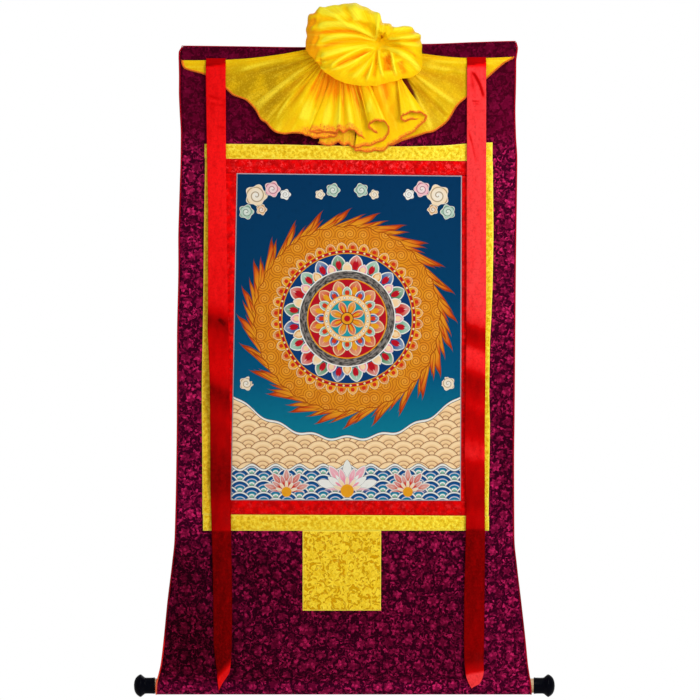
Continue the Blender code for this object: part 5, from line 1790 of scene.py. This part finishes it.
def build_floor():
    """A pale floor under the roller, which looks a little lighter than it is lit."""
    x, y = np.array([-1, 1, 1, -1]) * FLOOR_HALF, np.array([-1, -1, 1, 1]) * FLOOR_HALF
    mesh = bpy.data.meshes.new("floor")
    mesh.from_pydata(placed(x, -y, -FLOOR_LEVEL).tolist(), [], [(0, 1, 2, 3)])
    paint = Paint("studio_floor", specular_ior_level=0.2, emission_strength=1.0)
    shade = paint.noise(paint.object_place(), 0.5, 2.0)
    grey = paint.mix(shade, (0.86, 0.86, 0.86), (0.90, 0.90, 0.90))
    mesh.materials.append(paint.finish(grey, 0.8 + shade * 0.1))
    seen = Number(paint, paint.node("ShaderNodeLightPath").outputs["Is Camera Ray"])
    glow = paint.mix(seen, (0, 0, 0), (0.42, 0.42, 0.42))
    paint.tree.links.new(glow, paint.shader.inputs["Emission Color"])
    linked("floor", mesh)


def build_camera(scene):
    data = bpy.data.cameras.new("camera")
    data.lens, data.sensor_width = LENS, SENSOR
    data.clip_start, data.clip_end = 0.1, 100
    camera = linked("camera", data)
    camera.location = (VIEW_CENTRE[0], -VIEW_WIDTH * LENS / SENSOR, VIEW_CENTRE[1])
    camera.rotation_euler = (math.pi / 2, 0, 0)
    scene.camera = camera


def build_stage(scene):
    scene.view_settings.view_transform = "Standard"
    build_world(scene)
    build_floor()
    for light in LIGHTS:
        add_light(*light)
    build_camera(scene)


def painted_backing_light(x, drop):
    """Painted light and shade on the brocade's face, from 0 to 1: less where it leans away, lighter on the
    roller wrap, and a painted shadow under the veil's hem.
    """
    low, side, right = eased(0.86, 0.96, drop), eased(0.10, -0.34, x), eased(0.265, 0.285, x)
    upper, middle = between(0.07, 0.12, 0.40, 0.55, drop), between(0.55, 0.66, 0.84, 0.90, drop)
    share = 0.70 + right * (0.28 * upper - 0.26 * middle) + 0.09 * rumple(x, drop, 0.13, 14)
    share = share + 0.13 * eased(0.15, 0.22, drop)
    share = share - low * (0.40 + 0.26 * side - 0.38 * eased(0.20, 0.30, x))
    share = share + 0.60 * eased(1.168, 1.186, drop)
    share = share - 0.20 * between(1.02, 1.08, 1.15, 1.17, drop) * eased(-0.18, -0.30, x)
    veil_shadow = between(-0.200, -0.085, -0.050, -0.020, x) * between(0.145, 0.168, 0.181, 0.186, drop)
    return np.clip(share - 0.95 * veil_shadow - 0.17 * (1 - eased(0.0, 0.02, drop)), 0, 1)


def build_backing(colours, sizes):
    path = cloth_path()
    drop, left, right = cloth_across(path)
    across = np.linspace(0, 1, CLOTH_COLUMNS + 1)[None, :]
    points = cloth_points(path, left + (right - left) * across)
    order = np.arange(len(path))[:, None]
    shown = np.where(order < FRONT_STARTS, 0.35, eased(0.150, 0.215, drop))
    pattern = np.where(order < BACK_ENDS, 1.0, 0.12 + 0.88 * shown)
    # Painted light and shade on the cloth's face; its back takes one even share.
    lit = np.where(order < BACK_ENDS, BACK_LIT, painted_backing_light(points[..., 0], drop))
    mesh = cloth_mesh("backing", [cloth_grid(points, pattern=pattern, lit=lit)])
    mesh = thicken("backing", mesh, CLOTH_THICKNESS, 0)
    even_back(mesh, pattern=1.0, lit=BACK_LIT)
    piece = add_piece("backing", mesh, maroon_brocade(colours, sizes), "brocade_maroon", ("backing_cloth",))


def build_piping(colours, sizes):
    material = red_piping(colours)
    path = cloth_path()
    wrap_starts = len(path) - len(SEAM_SHARES) - WRAP_STATIONS
    front = [(CLOTH_THICKNESS / 2, drop) for drop in PIPING_STARTS]
    path = front + path[FRONT_STARTS + 1:wrap_starts + PIPING_WRAP_STATIONS]
    _, left, right = cloth_across(path)
    for name, edge, away in (("piping_left", left, -1), ("piping_right", right, 1)):
        points = cloth_points(path, edge)[:, 0]
        points[:, 0] += away * PIPING_RADIUS
        add_piece(name + "_cord", tube_mesh(name, points, PIPING_RADIUS), material, "piping_red", (name,))
    x = np.linspace(TOP_CORD_LEFT, TOP_CORD_RIGHT, TOP_CORD_STATIONS)
    top = placed(x, TOP_CORD_OUT, -table_value(CLOTH_TOP, "rise", x) - TOP_CORD_ABOVE)
    mesh = tube_mesh("piping_top", top, TOP_CORD_RADIUS, TOP_CORD_SIDES)
    add_piece("piping_top", mesh, material, "piping_red")


Pull = namedtuple("Pull", "at by")  # metres
TOP_PULLS = rows(
    Pull,
    (-0.262, 0), (-0.19, 0.0004), (-0.12, 0.0012), (-0.05, 0.003), (0.1, 0.0048), (0.17, 0.0034),
    (0.225, -0.0006), (0.27, -0.0026),
)
LEFT_PULLS = rows(
    Pull,
    (0.18, 0.001), (0.34, -0.0004), (0.49, -0.0014), (0.64, -0.0032), (0.75, -0.0019), (0.896, -0.001),
)
RIGHT_PULLS = rows(
    Pull,
    (0.18, 0), (0.27, 0.0017), (0.36, 0.0031), (0.43, 0.0026), (0.49, 0.0011), (0.56, -0.0015),
    (0.64, -0.0018), (0.71, 0), (0.896, -0.0009),
)
BOWS = {
    "yellow_top": lambda x, drop, across, down: (
        x, drop + table_value(TOP_PULLS, "by", x) * (1 - down)),
    "yellow_left": lambda x, drop, across, down: (
        x + table_value(LEFT_PULLS, "by", drop) * (1 - across), drop),
    "yellow_right": lambda x, drop, across, down: (
        x + table_value(RIGHT_PULLS, "by", drop) * across, drop),
}
# Painted light on the strips: each look's second value is its share of light, and the yellow strips are
# painted lighter towards the right.
RIGHTWARD_LIGHT = 0.20
StripLook = namedtuple("StripLook", "pattern lit")
STRIP_LOOKS = {
    "yellow_top": StripLook(0.10, 0.82), "yellow_bottom": StripLook(0.15, 0.76),
    "yellow_left": StripLook(0.45, 0.66), "yellow_right": StripLook(0.10, 0.80),
    "red_top": StripLook(1.0, 0.85), "red_bottom": StripLook(0.35, 0.78),
    "red_left": StripLook(0.25, 1.0), "red_right": StripLook(0.35, 0.96),
    "patch": StripLook(1.0, 0.82),
}


def rim_share(nearest):
    """1 on a panel's folded edge and 0 inside it: a painted highlight on the yellow brocade, a darker edge on
    the red.
    """
    return 1 - eased(0.0012, 0.0022, nearest)


def add_panel(name, piece_name, node, corners, material, slot, lit_right=0.0, **shape):
    """A sewn brocade panel in place of a node, with its looks."""
    points, nearest = panel_points(corners, PANEL_CELL, **shape)
    look = STRIP_LOOKS[name]
    # Painted light: the strip's share, lighter towards the right where asked.
    lit = look.lit + lit_right * eased(-0.22, 0.25, points[..., 0])
    mesh = cloth_mesh(name, [cloth_grid(points, pattern=look.pattern, lit=lit, rim=rim_share(nearest))])
    piece = add_piece(piece_name, thicken(name, mesh, PANEL_THICKNESS), material, slot, (node,))
    flat_size(corners)


def build_frames(colours, sizes):
    gold, scarlet = yellow_brocade(colours, sizes), red_brocade(colours, sizes)
    for colour, outer, inner, material, lit_right in (
        ("yellow", YELLOW_FRAME, RED_FRAME, gold, RIGHTWARD_LIGHT), ("red", RED_FRAME, PICTURE, scarlet, 0.0),
    ):
        for side, corners in strips(outer, inner).items():
            node = f"{colour}_{side}"
            creases = STRIP_CREASES if node == "yellow_bottom" else ()
            add_panel(node, node + "_strip", node, corners, material, "brocade_" + colour, lit_right,
                      creases=creases, seed=len(node), bow=BOWS.get(node))
    add_panel("patch", "patch", "door_patch", DOOR_PATCH, gold, "brocade_yellow", puff=0.0004, seed=21)

    tree = sewing_tree("running_stitches", stitch_form)
    given = {"spacing": sizes.stitch_spacing, "length": sizes.stitch_length,
             "thread_radius": sizes.thread_radius}
    lines = edge_lines(YELLOW_FRAME, STITCH_INSET, "b") + edge_lines(DOOR_PATCH, STITCH_INSET, "blr")
    yellow_thread = thread("thread_yellow", (0.86, 0.58, 0.030), (0.62, 0.36, 0.010))
    sewn("stitches_yellow", tree, lines, yellow_thread, "brocade_yellow", **given)
    lines = edge_lines(RED_FRAME, STITCH_INSET) + edge_lines(PICTURE, -STITCH_INSET)
    red_thread = thread("thread_red", (0.70, 0.010, 0.014), (0.42, 0.003, 0.006))
    sewn("stitches_red", tree, lines, red_thread, "brocade_red", **given)


def build_picture(colours, sizes):
    points, nearest = panel_points(PICTURE, PICTURE_CELL, puff=0.0002, seam_pull=0.0001, seed=31)
    mesh = cloth_mesh("picture", [cloth_grid(points, border=1 - eased(0.0011, 0.0016, nearest))])
    for material in (picture_ground(sizes), picture_wreath(sizes), picture_heart(sizes)):
        mesh.materials.append(material)
    reach = np.hypot(points[..., 0] - PICTURE_MIDDLE[0] - MEDALLION_AT[0],
                     points[..., 2] - PICTURE_MIDDLE[2] - MEDALLION_AT[1])
    corners = np.stack([reach[:-1, :-1], reach[1:, :-1], reach[1:, 1:], reach[:-1, 1:]])
    part = np.where(corners.max(0) < HEART_REACH, 2, np.where(corners.min(0) < WREATH_REACH, 1, 0))
    mesh.polygons.foreach_set("material_index", part.reshape(-1).astype(np.int32))
    mesh = thicken("picture", mesh, PANEL_THICKNESS)
    piece = add_piece("picture", mesh, None, "painted_canvas", ("picture_canvas",))
    flat_size(PICTURE)


# The last field is how strongly each ribbon's painted highlights show.
RibbonLook = namedtuple("RibbonLook", "rows tones creases tip_slant blush")
RIBBONS = {
    "ribbon_left": RibbonLook(RIBBON_LEFT, SATIN_SHADING_LEFT, RIBBON_CREASES_LEFT, -0.030, 0.15),
    "ribbon_right": RibbonLook(RIBBON_RIGHT, SATIN_SHADING_RIGHT, RIBBON_CREASES_RIGHT, -0.006, 1.0),
}


def ribbon_grid(look):
    """A ribbon's front with its tone, which is painted light and shade, and its painted highlights."""
    drop = np.linspace(look.rows[0].drop, look.rows[-1].drop, RIBBON_ROWS + 1)[:, None]
    across = np.linspace(0, 1, RIBBON_COLUMNS + 1)[None, :]
    left, right, back, bow = (table_value(look.rows, name, drop) for name in ("left", "right", "out", "bow"))
    x = left + (right - left) * across
    folds = creased(x, drop, look.creases)
    out = cloth_out(x, drop) + back + bow * np.sin(math.pi * across) + RIBBON_THICKNESS + folds
    loose = between(0.045, 0.10, 1.10, 1.14, drop)
    out = out + loose * (0.00045 * rumple(x, drop * 0.35, 0.020, 7) + 0.0002 * rumple(x, drop, 0.012, 8))
    down = np.gradient(out, axis=0) / np.gradient(drop + 0 * x, axis=0)
    # Painted light and shade of the satin: its listed bands, lighter on crease ridges and darker in troughs,
    # and darker where it slopes out going down.
    slant = TONE_SLANT * np.sin(math.pi * eased(0.30, 0.89, drop)) + look.tip_slant * eased(1.10, 1.13, drop)
    slanted = drop - (across - 0.5) * (slant + FOLD_SLANT * (1 - eased(0.05, 0.09, drop)))
    tone = table_value(look.tones, "tone", slanted)
    tone = tone + np.clip(folds / 0.0015, -0.45, 0.12) * eased(0.045, 0.055, drop)
    tone = np.clip(tone + 0.05 * rumple(x * 1.6, drop * 0.5, 0.03, 12) - 0.4 * down, 0, 1)
    # Painted highlights on the brightest stretches and at the foot.
    pale = np.clip(tone * 3 - 2, 0, 1) * (1 - 0.6 * eased(0.44, 0.60, drop)) * eased(0.037, 0.045, drop)
    blush = np.clip(look.blush * (pale + 0.8 * eased(1.157, 1.163, slanted)), 0, 1)
    return cloth_grid(placed(x, out, drop), tone=tone, blush=blush)


def build_ribbons(colours, sizes):
    material = ribbon_satin(colours, sizes)
    for name, look in RIBBONS.items():
        mesh = thicken(name, cloth_mesh(name, [ribbon_grid(look)]), RIBBON_THICKNESS)
        piece = add_piece(name + "_satin", mesh, material, "ribbon_satin", (name,))
        length = look.rows[-1].drop - look.rows[0].drop + RIBBON_TURNED_IN


def build_veil(colours, sizes):
    fan, places, down = fan_points()
    puff, puff_looks = puff_points()
    ply, ply_looks = ply_points()
    mesh = cloth_mesh("veil", [
        cloth_grid(fan, **fan_values(fan, places, down)),
        cloth_grid(puff, True, True, **puff_looks),
        cloth_grid(ply, **ply_looks),
    ])
    mesh = thicken("veil", mesh, VEIL_THICKNESS)
    piece = add_piece("veil_silk_cloth", mesh, veil_silk(colours), "veil_silk", ("veil",))
    orange = thread("thread_orange", tuple(colours.hem_thread), (0.92, 0.16, 0.012))
    tree = sewing_tree("overcast_loops", loop_form)
    hem = sewn("veil_hem", tree, [line[-1] - (0, 0, HEM_BELOW) for line in (fan, ply)], orange, "veil_silk",
               spacing=sizes.hem_loop_spacing, length=sizes.hem_loop_radius,
               thread_radius=HEM_THREAD_RADIUS, slant=HEM_SLANT)


def build_roller(colours, sizes):
    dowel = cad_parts["roller_dowel"]
    dowel.data.materials.clear()
    dowel.data.materials.append(pale_wood(colours))
    black = black_lacquer(colours)
    keys = np.arange(len(KNOB_RINGS))
    fine = np.linspace(0, keys[-1], KNOB_FINE_RINGS)
    lengths, radii = (curve_value(keys, np.array(column), fine) for column in zip(*KNOB_RINGS))
    for node, x, along in (
        ("knob_left", ROLLER_LEFT - KNOB_GAP, -1), ("knob_right", ROLLER_RIGHT + KNOB_GAP, 1),
    ):
        mesh = turned_mesh(node, lengths, radii, KNOB_SEGMENTS, (x, ROLLER_DEPTH, -ROLLER_DROP), along)
        add_piece(node + "_turned", mesh, black, "knob_black", (node,))


def main():
    register()
    for operator in OPERATORS:
        group, name = operator.bl_idname.split(".")
        getattr(getattr(bpy.ops, group), name)()


if __name__ == "__main__":
    main()
